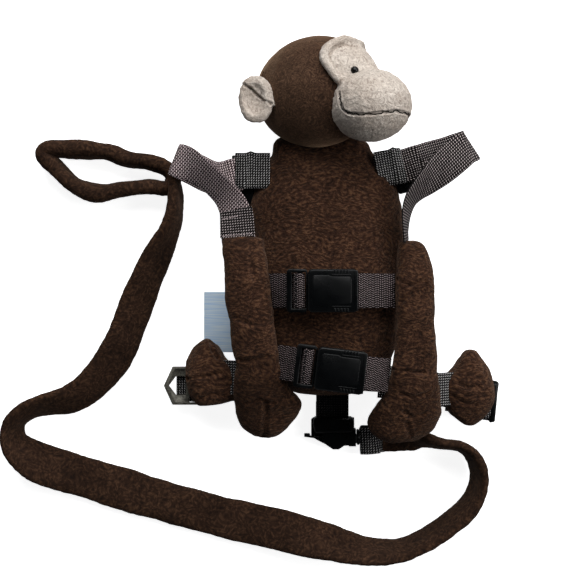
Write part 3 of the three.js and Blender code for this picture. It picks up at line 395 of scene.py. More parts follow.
handLoop = {
    "width": 0.0215, "thickness": 0.0135, "steps": 12, "sides": 18, "lean": 84, "height": 0.0121,
    "route": [
        (-0.1243, 0.0481), (-0.1383, 0.0491), (-0.1573, 0.0471), (-0.1763, 0.0441), (-0.1923, 0.0481),
        (-0.2033, 0.0561), (-0.2113, 0.0641), (-0.2193, 0.0721), (-0.2163, 0.0776), (-0.1993, 0.0781),
        (-0.1763, 0.0766), (-0.1553, 0.0711), (-0.1383, 0.0676), (-0.1253, 0.0626), (-0.1198, 0.0551)],
}


def smoothRows(rows, steps, loop=False):
    # the rows' numbers on a smooth curve through them
    count = len(rows)
    last = count * steps - 1 if loop else (count - 1) * steps
    out = []
    for i in range(last + 1):
        t = i / steps
        at = int(t) if loop else min(int(t), count - 2)
        f = t - at
        p1, p2 = rows[at], rows[(at + 1) % count]
        p0 = rows[(at - 1) % count] if at > 0 or loop else [2 * a - b for a, b in zip(p1, p2)]
        p3 = rows[(at + 2) % count] if at + 2 < count or loop else [2 * b - a for a, b in zip(p1, p2)]
        out.append([0.5 * (2 * b + (c - a) * f + (2 * a - 5 * b + 4 * c - d) * f * f
                           + (3 * b - a - 3 * c + d) * f ** 3) for a, b, c, d in zip(p0, p1, p2, p3)])
    return out


def bandFrames(rows, loop=False):
    # middle, width and flat directions at each row: x, y, z, lean and, if given, the width's heading
    frames = []
    count = len(rows)
    for i, row in enumerate(rows):
        before = rows[(i - 1) % count] if loop else rows[max(i - 1, 0)]
        after = rows[(i + 1) % count] if loop else rows[min(i + 1, count - 1)]
        along = (Vector(after[:3]) - Vector(before[:3])).normalized()
        heading = math.radians(row[4]) if len(row) > 4 else math.atan2(along.x, -along.y)
        lean = math.radians(row[3])
        level = math.cos(lean)
        wide = Vector((math.cos(heading) * level, math.sin(heading) * level, math.sin(lean)))
        wide = (wide - along * wide.dot(along)).normalized()
        frames.append((Vector(row[:3]), wide, along.cross(wide)))
    return frames


def tubeFaces(count, sides, loop=False):
    # quads between rows of points round a tube, which closes into a ring or ends in two caps
    faces = []
    for i in range(count if loop else count - 1):
        after = (i + 1) % count
        for j in range(sides):
            k = (j + 1) % sides
            faces.append((i * sides + j, i * sides + k, after * sides + k, after * sides + j))
    if not loop:
        faces.append(tuple(reversed(range(sides))))
        faces.append(tuple((count - 1) * sides + j for j in range(sides)))
    return faces


def bandMesh(name, frames, width, thickness, sides, flatness, loop=False, swell=None):
    # a band of rounded section, with a map in mm: u along, v across
    points, runs = [], []
    run = 0.0
    for i, (middle, wide, flat) in enumerate(frames):
        if i:
            run += (middle - frames[i - 1][0]).length
        runs.append(run)
        for j in range(sides):
            angle = 2 * math.pi * (j + 0.5) / sides
            c, s = math.cos(angle), math.sin(angle)
            u = math.copysign(abs(c) ** flatness[0], c) * width / 2
            v = math.copysign(abs(s) ** flatness[1], s) * thickness / 2
            if swell:
                u, v = swell(i, run, c, s, u, v)
            points.append(middle + wide * u + flat * v)
    count = len(frames)
    maps = []
    for i in range(count if loop else count - 1):
        after = (i + 1) % count
        far = runs[after] if after > i else run + (frames[0][0] - frames[-1][0]).length
        maps += [[(runs[i], j), (runs[i], j + 1), (far, j + 1), (far, j)] for j in range(sides)]
    if not loop:
        maps += [[(end, j) for j in range(sides)] for end in (0.0, run)]
    piece = newMesh(name, points, tubeFaces(count, sides, loop))
    layer = piece.data.uv_layers.new(name="weave")
    cosines = [math.cos(2 * math.pi * (j + 0.5) / sides) for j in range(sides)]
    offsets = [math.copysign(abs(c) ** flatness[0], c) * width / 2 for c in cosines]
    for face, corners in zip(piece.data.polygons, maps):
        for corner, (u, j) in zip(face.loop_indices, corners):
            layer.data[corner].uv = (u * 1000, offsets[j % sides] * 1000)
    faceOutward(piece)
    return piece


def layWeave(piece, start, heading):
    # from this run on, in mm, the weave keeps one heading instead of fanning out with the turn
    layer = piece.data.uv_layers["weave"].data
    along = Vector((math.cos(math.radians(heading)), math.sin(math.radians(heading)), 0))
    across = Vector((-along.y, along.x, 0))
    for face in piece.data.polygons:
        if min(layer[index].uv.x for index in face.loop_indices) > start:
            for index in face.loop_indices:
                p = piece.data.vertices[piece.data.loops[index].vertex_index].co * 1000
                layer[index].uv = (p.dot(along), p.dot(across))


def strapBand(name, settings):
    # webbing along the photograph's line: rows of column, row, height mm, lean and heading of its width
    placed = [tuple(pixelPlace(column, row, z / 1000)) + (lean, heading)
              for column, row, z, lean, heading in settings["rows"]]
    frames = bandFrames(smoothRows(placed, 6))
    width = settings.get("width", 25.0) / 1000
    thickness = settings.get("thickness", 1.7) / 1000
    piece = bandMesh(name, frames, width, thickness, 12, (0.25, 0.6), swell=settings.get("swell"))
    smoothShade(piece, 50)
    if "weave" in settings:
        layWeave(piece, *settings["weave"])
    return wear(piece, settings["material"], nodes=settings.get("nodes", ()))


def joinTo(piece, extras):
    pick(piece)
    for extra in extras:
        extra.select_set(True)
    bpy.ops.object.join()
    if piece.data.materials:
        material = piece.data.materials[0]
        piece.data.polygons.foreach_set("material_index", [0] * len(piece.data.polygons))
        piece.data.materials.clear()
        piece.data.materials.append(material)
    return piece


def roughen(piece, waves):
    # pushes each point along its normal by soft noise, and keeps it above the floor:
    # size mm, depth mm and stretch for each wave
    mesh = piece.data
    normals = [v.normal.copy() for v in mesh.vertices]
    for v, normal in zip(mesh.vertices, normals):
        push = 0.0
        for size, depth, stretch in waves:
            p = Vector((v.co.x * stretch[0], v.co.y * stretch[1], v.co.z * stretch[2])) * (1000 / size)
            push += noise.noise(p) * depth
        v.co += normal * (push / 1000)
        v.co.z = max(v.co.z, 0.00005)
    mesh.update()


def makeLead():
    rows = smoothRows(lead["route"], lead["steps"])
    frames = bandFrames(rows)

    def swell(i, run, c, s, u, v):
        # stuffing gathers: the band pulls in and thickens a little here and there
        pull = lead["pull"] + lead["pullWave"] * noise.noise(Vector((run * 28, 0.3, 0)))
        nearLoop = (i + lead["loopRows"] - len(frames)) / (lead["loopRows"] - 1)
        pull *= 1 - lead["loopPinch"] * max(0.0, nearLoop) ** 2
        pull *= 1 - lead["tabPinch"] * min(max(2 - i / lead["tabRows"], 0.0), 1.0)
        fat = 0.9 + 0.16 * noise.noise(Vector((run * 45, 4.0, c * 1.2)))
        return u * pull, v * fat

    piece = bandMesh("plushLead", frames, lead["width"], lead["thickness"], lead["sides"], (0.62, 0.8),
                     swell=swell)
    finishWith(piece, "SUBSURF", levels=1, render_levels=1)
    roughen(piece, [(14, 0.8, (1, 1, 1)), (3.2, 0.35, (1, 1, 1))])
    smoothShade(piece)
    wear(piece, leadPlush, nodes=("tail_lead",))
    middles = [f[0] for f in frames]
    length = sum((b - a).length for a, b in zip(middles, middles[1:]))
    return piece, middles, length


def makeHandLoop():
    rows = [(x, y, handLoop["height"], handLoop["lean"]) for x, y in handLoop["route"]]
    frames = bandFrames(smoothRows(rows, handLoop["steps"], loop=True), loop=True)

    def swell(i, run, c, s, u, v):
        fat = 0.92 + 0.16 * noise.noise(Vector((run * 40, 9.0, 0)))
        return u * 0.96, v * fat

    piece = bandMesh("plushHandLoop", frames, handLoop["width"], handLoop["thickness"], handLoop["sides"],
                     (0.62, 0.8), loop=True, swell=swell)
    finishWith(piece, "SUBSURF", levels=1, render_levels=1)
    roughen(piece, [(17, 1.8, (1, 1, 1)), (3.2, 0.35, (1, 1, 1))])
    smoothShade(piece)
    wear(piece, leadPlush, nodes=("hand_loop",))
    return piece


def mapWeave(piece, heading):
    # the weave's map in mm, laid along the strap's heading in degrees
    mesh = piece.data
    along = Vector((math.cos(math.radians(heading)), math.sin(math.radians(heading)), 0))
    across = Vector((-along.y, along.x, 0))
    while mesh.uv_layers:
        mesh.uv_layers.remove(mesh.uv_layers[0])
    layer = mesh.uv_layers.new(name="weave")
    for face in mesh.polygons:
        steep = abs(face.normal.dot(along)) > 0.8
        for index in face.loop_indices:
            p = mesh.vertices[mesh.loops[index].vertex_index].co
            u = p.z if steep else p.dot(along)
            layer.data[index].uv = (u * 1000, p.dot(across) * 1000)


def dressStrap(node, name, material, heading):
    piece = copyOf(node, name)
    roundEdges(piece, 0.4, 50)
    smoothShade(piece, 40)
    mapWeave(piece, heading)
    return wear(piece, material, nodes=(node,))


leadTab = {
    "material": darkWebbing, "slot": "black_webbing", "nodes": ("tail_tab",), "width": 21,
    "rows": [(385, 438.5, 5, 0, 86), (380, 439, 8.6, 0, 88), (374, 440.5, 11, 0, 90),
             (367, 441, 12, 0, 92), (362.5, 441, 10.8, 0, 93), (360.8, 441, 8, 0, 93),
             (360.8, 441, 4.5, 0, 93), (362.5, 441, 2, 0, 92), (368, 441, 1.3, 0, 90),
             (379, 440, 1.6, 0, 88)]}
leadPiece, leadMiddles, leadLength = makeLead()
loopPiece = makeHandLoop()
tabPiece = strapBand("leadTab", leadTab)
print("stage: lead")


# Plush body
def plushFrom(nodes, name, settings):
    # the frame's solids, swelled a little into each other, remeshed finer and softened
    parts = [copyOf(node, name + str(i)) for i, node in enumerate(nodes)]
    pick(parts[0])
    for part in parts[1:]:
        part.select_set(True)
    if len(parts) > 1:
        bpy.ops.object.join()
    piece = parts[0]
    piece.name = name
    return plushen(piece, settings)


def plushen(piece, settings):
    if settings.get("swell"):
        finishWith(piece, "DISPLACE", strength=settings["swell"] / 1000, mid_level=0.0)
    finishWith(piece, "REMESH", mode="VOXEL", voxel_size=settings["voxel"] / 1000)
    finishWith(piece, "SMOOTH", factor=0.5, iterations=settings["soften"])
    finishWith(piece, "SUBSURF", levels=1, render_levels=1)
    return piece


def pointsOf(piece, what="co"):
    flat = np.empty(len(piece.data.vertices) * 3, np.float32)
    piece.data.vertices.foreach_get(what, flat)
    return flat.reshape(-1, 3)


def setPoints(piece, points):
    piece.data.vertices.foreach_set("co", np.asarray(points, np.float32).ravel())
    piece.data.update()


def surfaceOf(piece):
    return BVHTree.FromPolygons([v.co for v in piece.data.vertices],
                                [tuple(f.vertices) for f in piece.data.polygons])


def lineOn(piece, pixels):
    # the photograph's line, laid on the piece where the camera sees it
    tree = surfaceOf(piece)
    eye = Vector(view["place"])
    hits = []
    for column, row in pixels:
        toward = (pixelPlace(column, row, 0) - eye).normalized()
        hit = tree.ray_cast(eye, toward)[0]
        if hit:
            hits.append(hit)
    return hits


def distanceTo(points, line):
    near = np.full(len(points), 9.0)
    for a, b in zip(line, line[1:]):
        a, run = np.array(a), np.array(b) - np.array(a)
        t = np.clip(((points - a) @ run) / max(run @ run, 1e-12), 0, 1)
        near = np.minimum(near, np.linalg.norm(points - a - t[:, None] * run, axis=1))
    return near


def crease(piece, line, depth, width, lips=0.35, lift=0.0):
    # a sewn line or fold, in mm: points near it sink and swell beside it, and one side can lie over the other
    points, normals = pointsOf(piece), pointsOf(piece, "normal")
    reach = distanceTo(points, line) * 1000 / width
    sink = np.exp(-reach ** 2) - lips * np.exp(-2 * (reach - 1.8) ** 2)
    if lift:
        run = np.array(line[-1]) - np.array(line[0])
        side = (points[:, 1] - line[0][1]) * run[0] - (points[:, 0] - line[0][0]) * run[1]
        sink -= lift / depth * (side > 0) * (reach > 0.8) * np.exp(-reach * width / 9)
    setPoints(piece, points - normals * (sink * depth / 1000)[:, None])


def nudge(piece, moves):
    # moves outlines to the photograph's, fading over 4 mm above and below:
    # from pixel, to pixel, reach mm, lowest and highest z mm for each move
    points = pointsOf(piece)
    for start, end, reach, low, high in moves:
        height = (low + high) / 2000
        a, b = (np.array(pixelPlace(column, row, height)) for column, row in (start, end))
        away = np.hypot(points[:, 0] - a[0], points[:, 1] - a[1]) * 1000 / reach
        share = np.clip(1 - away ** 2, 0, 1) ** 2
        z = points[:, 2] * 1000
        level = np.clip((z - low) / 4 + 1, 0, 1) * np.clip((high - z) / 4 + 1, 0, 1)
        points[:, :2] += (b - a)[:2] * (share * level)[:, None]
    setPoints(piece, points)


softPieces = [
    {"nodes": ["torso"], "voxel": 2.4, "soften": 6, "material": brownPlush,
     "waves": [(40, 1.5, (1, 1, 1)), (3.4, 0.3, (0.6, 1, 1))],
     "moves": [((290, 147), (279, 145), 17, 0, 60), ((352, 147), (362, 146), 17, 0, 60),
               ((285, 146), (284, 141), 16, 0, 60), ((348, 146), (349, 141), 16, 0, 60),
               ((268, 168), (263, 168), 15, 0, 60), ((257, 200), (251.5, 202), 26, 0, 60),
               ((387, 186), (391, 181), 14, 0, 60), ((397, 214), (401, 214), 22, 0, 60),
               ((399, 240), (403, 240), 18, 0, 60),
               ((399, 260), (402, 260), 24, 0, 40), ((400, 300), (404, 300), 26, 0, 40),
               ((399, 340), (402, 338), 22, 0, 40)],
     "creases": [([(281, 152), (300, 150), (322, 150), (345, 151), (362, 154)], 0.8, 1.6)]},
    {"nodes": ["head"], "voxel": 2.0, "soften": 6, "material": headPlush,
     "waves": [(30, 0.5, (1, 1, 1)), (3.4, 0.12, (0.6, 1, 1))],
     "creases": [([(272, 49), (267, 56), (264, 65), (263, 74), (261, 84)], 1.3, 1.4)]},
    {"nodes": ["ear_right"], "voxel": 0.9, "soften": 4, "material": beigePile,
     "waves": [(2.6, 0.4, (1, 1, 1))],
     "creases": [([(245, 85), (250, 88), (256, 94), (262, 99), (271, 104)], 2.0, 1.1, 0.1, 1.3)]},
    {"nodes": ["ear_left"], "voxel": 1.2, "soften": 4, "material": beigePile,
     "waves": [(2.6, 0.4, (1, 1, 1))], "creases": []},
    {"nodes": ["arm_right", "hand_right"], "swell": 0.35, "voxel": 1.6, "soften": 6, "material": brownPlush,
     "waves": [(17, 1.6, (1, 1.3, 1)), (3.4, 0.3, (0.6, 1, 1))],
     "moves": [((238, 244), (238, 241), 26, 0, 70)],
     "creases": [([(228, 353), (240, 360), (252, 361), (266, 356), (280, 352)], 1.6, 1.8),
                 ([(252, 245), (250, 262), (255, 280)], 0.8, 2.0),
                 ([(236, 318), (252, 326), (262, 322)], 0.9, 1.8),
                 ([(265, 403), (266, 414), (265, 426), (264, 437)], 1.3, 2.0),
                 ([(246, 403), (258, 399), (273, 404)], 1.0, 1.8)]},
    {"nodes": ["arm_left", "hand_left"], "swell": 0.35, "voxel": 1.6, "soften": 6, "material": brownPlush,
     "waves": [(17, 1.4, (1, 1.3, 1)), (3.4, 0.3, (0.6, 1, 1))],
     "creases": [([(394, 369), (408, 371), (424, 373), (439, 374)], 1.4, 1.2),
                 ([(397, 279), (410, 286), (424, 281)], 1.3, 1.5),
                 ([(402, 302), (414, 292), (426, 284)], 1.0, 1.5),
                 ([(400, 394), (412, 398), (428, 393)], 1.2, 1.6),
                 ([(404, 412), (412, 418), (424, 414)], 1.0, 1.5),
                 ([(407, 424), (410, 436), (409, 447)], 1.0, 2.0)]},
    {"nodes": ["foot_right"], "voxel": 1.5, "soften": 5, "material": brownPlush,
     "waves": [(15, 1.4, (1, 1, 1)), (3.4, 0.3, (0.6, 1, 1))],
     "moves": [((226, 377), (239, 378), 17, 0, 60), ((221, 396), (233, 394), 12, 0, 60)],
     "creases": [([(187, 379), (203, 377), (221, 373)], 1.6, 1.6),
                 ([(211, 341), (212, 350), (217, 358)], 1.3, 1.6),
                 ([(200, 398), (212, 394), (224, 396)], 0.9, 1.6)]},
    {"nodes": ["foot_left"], "voxel": 1.5, "soften": 5, "material": brownPlush,
     "waves": [(15, 1.4, (1, 1, 1)), (3.4, 0.3, (0.6, 1, 1))],
     "moves": [((448, 378), (445, 378), 12, 0, 60), ((486, 402), (490, 401), 20, 0, 60)],
     "creases": [([(459, 384), (469, 388), (479, 387)], 1.2, 1.8),
                 ([(454, 397), (464, 403), (475, 404)], 0.9, 1.8)]},
]
for settings in softPieces:
    piece = plushFrom(settings["nodes"], "soft_" + settings["nodes"][0], settings)
    nudge(piece, settings.get("moves", []))
    for pixels, *sizes in settings["creases"]:
        crease(piece, lineOn(piece, pixels), *sizes)
    roughen(piece, settings["waves"])
    smoothShade(piece)
    wear(piece, settings["material"],
         nodes=settings["nodes"])
print("stage: plush body")


# Face
# the head's own frame, in mm: z is where it looks, y its crown, -x the side that shows
face = {
    "headAt": (-10.292, 116.1, 47.0), "turn": 57, "half": (38, 41, 49), "middle": (0, 12),
    "edge": [(0, 36.6), (6, 36.3), (14.2, 34), (23.4, 28.8), (29.2, 21.4), (30.9, 14.8), (30.6, 6.6),
             (28.4, -0.8), (24.5, -7.4), (15, -14.4), (0, -16.4)],
    "rings": 30, "spokes": 10, "inner": 1.4, "under": -2.5, "thick": 0.8, "roundEdge": 1.8,
    "rimLine": [(347, 39.8), (340, 40.3), (331, 44.3), (325, 51), (324, 58), (328, 66), (334, 74),
                (339.5, 81)],
    "rimLevel": 2.3, "rimHalf": 3.2,
    # the muzzle and the patch flow into each other near this oval, in the head's frame
    "blend": {"middle": (0, -13.7, 44.5), "half": (33, 26, 30), "at": 1.06, "reach": 0.22,
              "lowest": -2, "widest": 30, "times": 30},
    "browDepth": 1.7, "browWidth": 0.8,
    "browCrease": [(372, 50), (366, 48), (358, 46.8), (350, 45.6), (343, 44.2), (337, 46.3), (332, 50.5),
                   (329.6, 55), (331, 61), (335, 68), (338, 73)],
    "voxel": 1.0, "soften": 2, "waves": [(14, 0.5, (1, 1, 1)), (2.3, 0.34, (1, 1, 1))],
    "mouth": [(339, 93), (339.5, 99), (341, 105), (344, 110.5), (350, 113.5), (358, 114.3), (368, 114),
              (378, 113.2), (388, 112.3), (398, 111.5)],
    "mouthDepth": 1.3, "mouthWidth": 1.1, "thread": 0.42,
}
headFrame = Matrix.Translation([v / 1000 for v in face["headAt"]])
headFrame = headFrame @ Matrix.Rotation(math.radians(face["turn"]), 4, "Y")


def makeMask():
    # the pile patch over the brow and cheeks, rounded at its edge, on the head's oval
    halfLine = smoothRows([list(p) for p in face["edge"]], face["spokes"])
    outline = [(x, y) for x, y in halfLine] + [(-x, y) for x, y in reversed(halfLine[1:-1])]
    cx, cy = face["middle"]
    count = len(outline)
    a, b, c = face["half"]

    def onHead(x, y):
        return np.array((x, y, c * math.sqrt(max(0.0, 1 - (x / a) ** 2 - (y / b) ** 2))))

    edge = [onHead(x, y) for x, y in outline + outline[:1]]
    middles = np.array([onHead(cx + (x - cx) * i / face["rings"], cy + (y - cy) * i / face["rings"])
                        for i in range(face["rings"] + 1) for x, y in outline])
    outward = middles / np.array(face["half"]) ** 2
    outward /= np.linalg.norm(outward, axis=1)[:, None]
    share = np.minimum(distanceTo(middles, edge) / face["roundEdge"], 1)
    top = face["under"] + (face["inner"] - face["under"]) * np.sqrt(1 - (1 - share) ** 2)
    upper = middles + outward * top[:, None]
    lower = middles + outward * (face["under"] - face["thick"])
    points = [headFrame @ (Vector(p) / 1000) for p in np.vstack([upper, lower])]
    faces = []
    layerSize = (face["rings"] + 1) * count
    for start in (0, layerSize):
        for i in range(face["rings"]):
            near = start + i * count
            far = near + count
            for j in range(count):
                k = (j + 1) % count
                faces.append((near + j, near + k, far + k, far + j))
    last = face["rings"] * count
    for j in range(count):
        k = (j + 1) % count
        faces.append((last + j, last + k, layerSize + last + k, layerSize + last + j))
    piece = newMesh("browPatch", points, faces)
    faceOutward(piece, merge=True)
    return piece


def headPlace(column, row, level):
    # where the camera's ray through a pixel meets the head's oval, swelled by this level in mm
    toHead = headFrame.inverted()
    half = Vector([(h + level) / 1000 for h in face["half"]])
    eye = toHead @ Vector(view["place"])
    ray = toHead @ pixelPlace(column, row, 0) - eye
    e = Vector([p / h for p, h in zip(eye, half)])
    r = Vector([p / h for p, h in zip(ray, half)])
    a, b, c = r.dot(r), e.dot(r), e.dot(e) - 1
    return eye + ray * ((-b - math.sqrt(max(b * b - a * c, 0))) / a)


def makeRim():
    # the stuffed roll round the brow, mirrored to the far side
    near = [headPlace(column, row, face["rimLevel"]) for column, row in face["rimLine"]]
    rows = [(p.x, p.y, p.z) for p in reversed(near)] + [(-p.x, p.y, p.z) for p in near]
    frames = []
    turn = headFrame.to_3x3()
    line = [Vector(row) for row in smoothRows(rows, 6)]
    for i, middle in enumerate(line):
        along = (line[min(i + 1, len(line) - 1)] - line[max(i - 1, 0)]).normalized()
        out = Vector([p / h ** 2 for p, h in zip(middle, face["half"])])
        out = (out - along * out.dot(along)).normalized()
        frames.append((headFrame @ middle, turn @ along.cross(out), turn @ out))
    size = 2 * face["rimHalf"] / 1000
    return bandMesh("browRim", frames, size, size, 16, (1, 1))


def softenWhere(piece, weights, times):
    group = piece.vertex_groups.new(name="blend")
    for i in np.nonzero(weights > 0.02)[0]:
        group.add([int(i)], float(weights[i]), "REPLACE")
    finishWith(piece, "SMOOTH", factor=0.5, iterations=times, vertex_group="blend")
    piece.vertex_groups.clear()


def makeFace():
    muzzle = copyOf("muzzle", "softFace")
    piece = plushen(joinTo(muzzle, [makeMask(), makeRim()]), face)
    back = np.array(headFrame.inverted())
    local = pointsOf(piece) @ back[:3, :3].T * 1000 + back[:3, 3] * 1000
    blend = face["blend"]
    rise = (local - np.array(blend["middle"])) / np.array(blend["half"])
    near = np.abs(np.linalg.norm(rise, axis=1) - blend["at"])
    weights = np.clip(1 - near / blend["reach"], 0, 1)
    weights *= (local[:, 1] > blend["lowest"]) * (np.abs(local[:, 0]) < blend["widest"])
    softenWhere(piece, weights, blend["times"])
    crease(piece, lineOn(piece, face["browCrease"]), face["browDepth"], face["browWidth"], lips=0.1)
    side = [headFrame.inverted() @ p for p in lineOn(piece, face["mouth"])]
    side = [p for p in side if p.x < 0.0005]
    side = side + [Vector((-p.x, p.y, p.z)) for p in reversed(side) if p.x < -0.0005]
    tree = surfaceOf(piece)
    rows = smoothRows([list(headFrame @ p) for p in side], 5)
    line = [tree.find_nearest(Vector(row))[0] for row in rows]
    crease(piece, line, face["mouthDepth"], face["mouthWidth"], lips=0.2)
    roughen(piece, face["waves"])
    smoothShade(piece)
    wear(piece, beigePile, nodes=("muzzle", "face_mask"))
    return piece, line


def makeMouthThread(facePiece, line):
    # backstitched thread lying in the mouth's groove, thinner at its ends
    tree = surfaceOf(facePiece)
    middles = []
    for p in line:
        place, normal = tree.find_nearest(p)[:2]
        middles.append((place + normal * 0.0002, normal))
    points = []
    sides = 8
    last = len(middles) - 1
    for i, (middle, normal) in enumerate(middles):
        along = (middles[min(i + 1, last)][0] - middles[max(i - 1, 0)][0]).normalized()
        wide = along.cross(normal).normalized()
        size = face["thread"] / 1000 * (1 + 0.2 * math.sin(i * 2.1)) * (0.5 if i in (0, last) else 1)
        for j in range(sides):
            angle = 2 * math.pi * j / sides
            points.append(middle + wide * math.cos(angle) * size + normal * math.sin(angle) * size)
    piece = newMesh("mouthThread", points, tubeFaces(len(middles), sides))
    faceOutward(piece)
    smoothShade(piece)
    return wear(piece, darkThread)


facePiece, mouthLine = makeFace()
makeMouthThread(facePiece, mouthLine)
print("stage: face")


# Straps
for node, material, slot, heading in [
    ("chest_webbing_upper_right", chestWebbing, "grey_brown_webbing", 0),
    ("chest_webbing_upper_left", chestWebbing, "grey_brown_webbing", 0),
    ("chest_webbing_lower_right", chestWebbing, "grey_brown_webbing", -7),
    ("chest_webbing_lower_left", chestWebbing, "grey_brown_webbing", -7),
    ("side_webbing_right", darkWebbing, "grey_brown_webbing", 90),
    ("side_webbing_left", darkWebbing, "grey_brown_webbing", 90),
    ("shoulder_webbing_right", darkWebbing, "black_webbing", 0),
    ("shoulder_webbing_left", darkWebbing, "black_webbing", 13),
    ("waist_webbing_right", darkWebbing, "black_webbing", 0),
    ("waist_webbing_left", darkWebbing, "black_webbing", -9),
    ("tether_webbing", tetherWebbing, "black_webbing", 90),
]:
    dressStrap(node, "woven_" + node, material, heading)
# the upper row runs on to the sleeve: what lies past this x is drawn out, in metres
upperEnd = {"from": 0.037, "reach": 0.005}
upperLeft = bpy.data.objects["woven_chest_webbing_upper_left"]
spots = pointsOf(upperLeft)
spots[:, 0] += upperEnd["reach"] * np.clip((spots[:, 0] - upperEnd["from"]) / upperEnd["reach"], 0, 1)
setPoints(upperLeft, spots)


def foldSwell(i, run, c, s, u, v):
    # the folded end stands a little past the webbing's edge
    return u * (1 + 0.1 * math.exp(-((run - 0.0145) / 0.0022) ** 2) * (c > 0)), v


# weave: from which run on, in mm, the weave keeps one heading, and that heading in degrees
straps = {
    "adjustingStrapRight": {
        "material": shoulderWebbing, "slot": "grey_brown_webbing", "nodes": ("shoulder_strap_right",),
        "weave": (62, -44),
        "rows": [(240, 174, 36.8, 0, 90), (232, 175.5, 38.2, 0, 88), (225, 177.5, 37, 0, 86),
                 (217, 178.5, 36, 0, 83), (208, 176, 33.5, 0, 80), (196, 170, 29, 0, 76),
                 (186, 165, 27, 0, 73), (178.5, 161.5, 27.5, 0, 70), (174.5, 159.5, 31, 0, 69),
                 (175.5, 159.5, 36, 0, 67), (180, 160.5, 40, 6, 63), (189, 164, 43.5, 26, 55),
                 (198, 169.5, 46, 38, 50), (208, 177.5, 48, 43, 47), (217, 186, 49.5, 43, 42),
                 (226, 195.5, 50.5, 38, 32), (233, 207, 51.5, 28, 18), (236.5, 218, 52.6, 18, 10),
                 (237.5, 229, 53.4, 8, 5), (238.2, 238, 52.6, 2, 3), (239, 244, 50, 0, 3)]},
    "sewnEndRight": {
        "material": leftWebbing, "slot": "grey_brown_webbing", "width": 25.4, "thickness": 1.5,
        "weave": (-1, -85),
        "rows": [(235.6, 209.5, 54.3, 18, 12), (236.6, 217, 54.9, 12, 9), (237.2, 227, 55.4, 5, 6),
                 (237.4, 238, 55.3, 1, 3)]},
    "adjustingStrapLeft": {
        "material": leftWebbing, "slot": "grey_brown_webbing", "nodes": ("shoulder_strap_left",),
        "rows": [(399, 167, 36.8, 0, 103), (407, 165, 37.2, 0, 103), (416, 162, 38.4, 0, 103),
                 (422, 160.5, 39.2, 0, 104), (428, 158.5, 36.5, 0, 105), (435, 156.5, 32.5, 0, 107),
                 (446, 153.5, 29, 0, 111), (456, 150, 27, 0, 115), (464, 147.5, 26.5, 0, 119),
                 (469, 146, 28, 0, 122), (471, 145.5, 32, 0, 123), (469.5, 146.5, 36, 0, 123),
                 (464.5, 149, 39.5, 0, 123), (455, 157.5, 42, 4, 122), (443.5, 167.5, 44, 16, 124),
                 (431, 178.5, 46, 38, 133), (420, 188, 48.5, 54, 144), (411, 199, 50, 64, 160),
                 (406.5, 213, 51, 70, 172), (405.5, 229, 51.3, 76, 178), (406, 241, 50.5, 77, 180)]},
    "foldedEndRight": {
        "material": darkWebbing, "slot": "black_webbing", "width": 26.4, "swell": foldSwell,
        "rows": [(270, 170.5, 41.8, 0, 90), (262, 170.5, 41.4, 0, 90), (256, 170.5, 40.6, 0, 90),
                 (249, 170.5, 40, 0, 90), (244, 170.5, 40.9, 0, 90), (239.5, 170.5, 40.2, 0, 90),
                 (236.4, 170.5, 38.6, 0, 90), (236, 170.5, 36.4, 0, 90)]},
    "foldedEndLeft": {
        "material": darkWebbing, "slot": "black_webbing", "width": 26.4, "swell": foldSwell,
        "rows": [(377, 169.5, 41.6, 0, 103), (385, 168, 40.6, 0, 103), (391, 167, 40.2, 0, 103),
                 (395.5, 166.2, 41.1, 0, 103), (399.5, 165.5, 40.2, 0, 103), (402.6, 165, 38.6, 0, 103),
                 (403, 165, 36.4, 0, 103)]},
    "lockFoldLeft": {
        "material": darkWebbing, "slot": "black_webbing", "width": 26.5,
        "rows": [(476, 402, 11, 0, 81), (486, 401, 12, 0, 81), (491.5, 400.3, 11.2, 0, 81),
                 (493.4, 400, 8.8, 0, 81), (492.4, 400.2, 6.4, 0, 81), (486, 401, 4.8, 0, 81)]},
}
for name, settings in straps.items():
    strapBand(name, settings)


# two rows across the sewn end: first and last pixel and height mm of each; stitch length and thickness in mm
sewing = {"rows": [((221.5, 219.5), (252, 213), 56), ((221.8, 236.5), (252.5, 233.5), 56.4)],
          "count": 9, "length": 2.0, "thick": 0.6,
          "shape": ((-0.5, -0.5), (-0.25, 0.1), (0.25, 0.1), (0.5, -0.5))}


def stitchRow(start, end, height):
    # short stitches of pale thread across the strap
    made = []
    a, b = (pixelPlace(column, row, height / 1000) for column, row in (start, end))
    run = (b - a).normalized()
    size = sewing["thick"] / 1000
    for i in range(sewing["count"]):
        middle = a + (b - a) * ((i + 0.5) / sewing["count"])
        frames = []
        for share, sink in sewing["shape"]:
            place = middle + run * (sewing["length"] / 1000 * share) + Vector((0, 0, sink / 1000))
            frames.append((place, Vector((-run.y, run.x, 0)), Vector((0, 0, 1))))
        made.append(bandMesh("stitch", frames, size, size, 6, (1, 1)))
    piece = joinTo(made[0], made[1:])
    piece.name = "sewnEndStitches"
    smoothShade(piece)
    return wear(piece, paleThread)


stitches = [stitchRow(*row) for row in sewing["rows"]]
joinTo(stitches[0], stitches[1:])
print("stage: straps")


# Hard pieces
def dressHard(node, material, body, edge):
    piece = copyOf(node, "moulded_" + node)
    roundEdges(piece, edge, 35)
    smoothShade(piece, 35)
    return wear(piece, material, body=body, nodes=(node,))


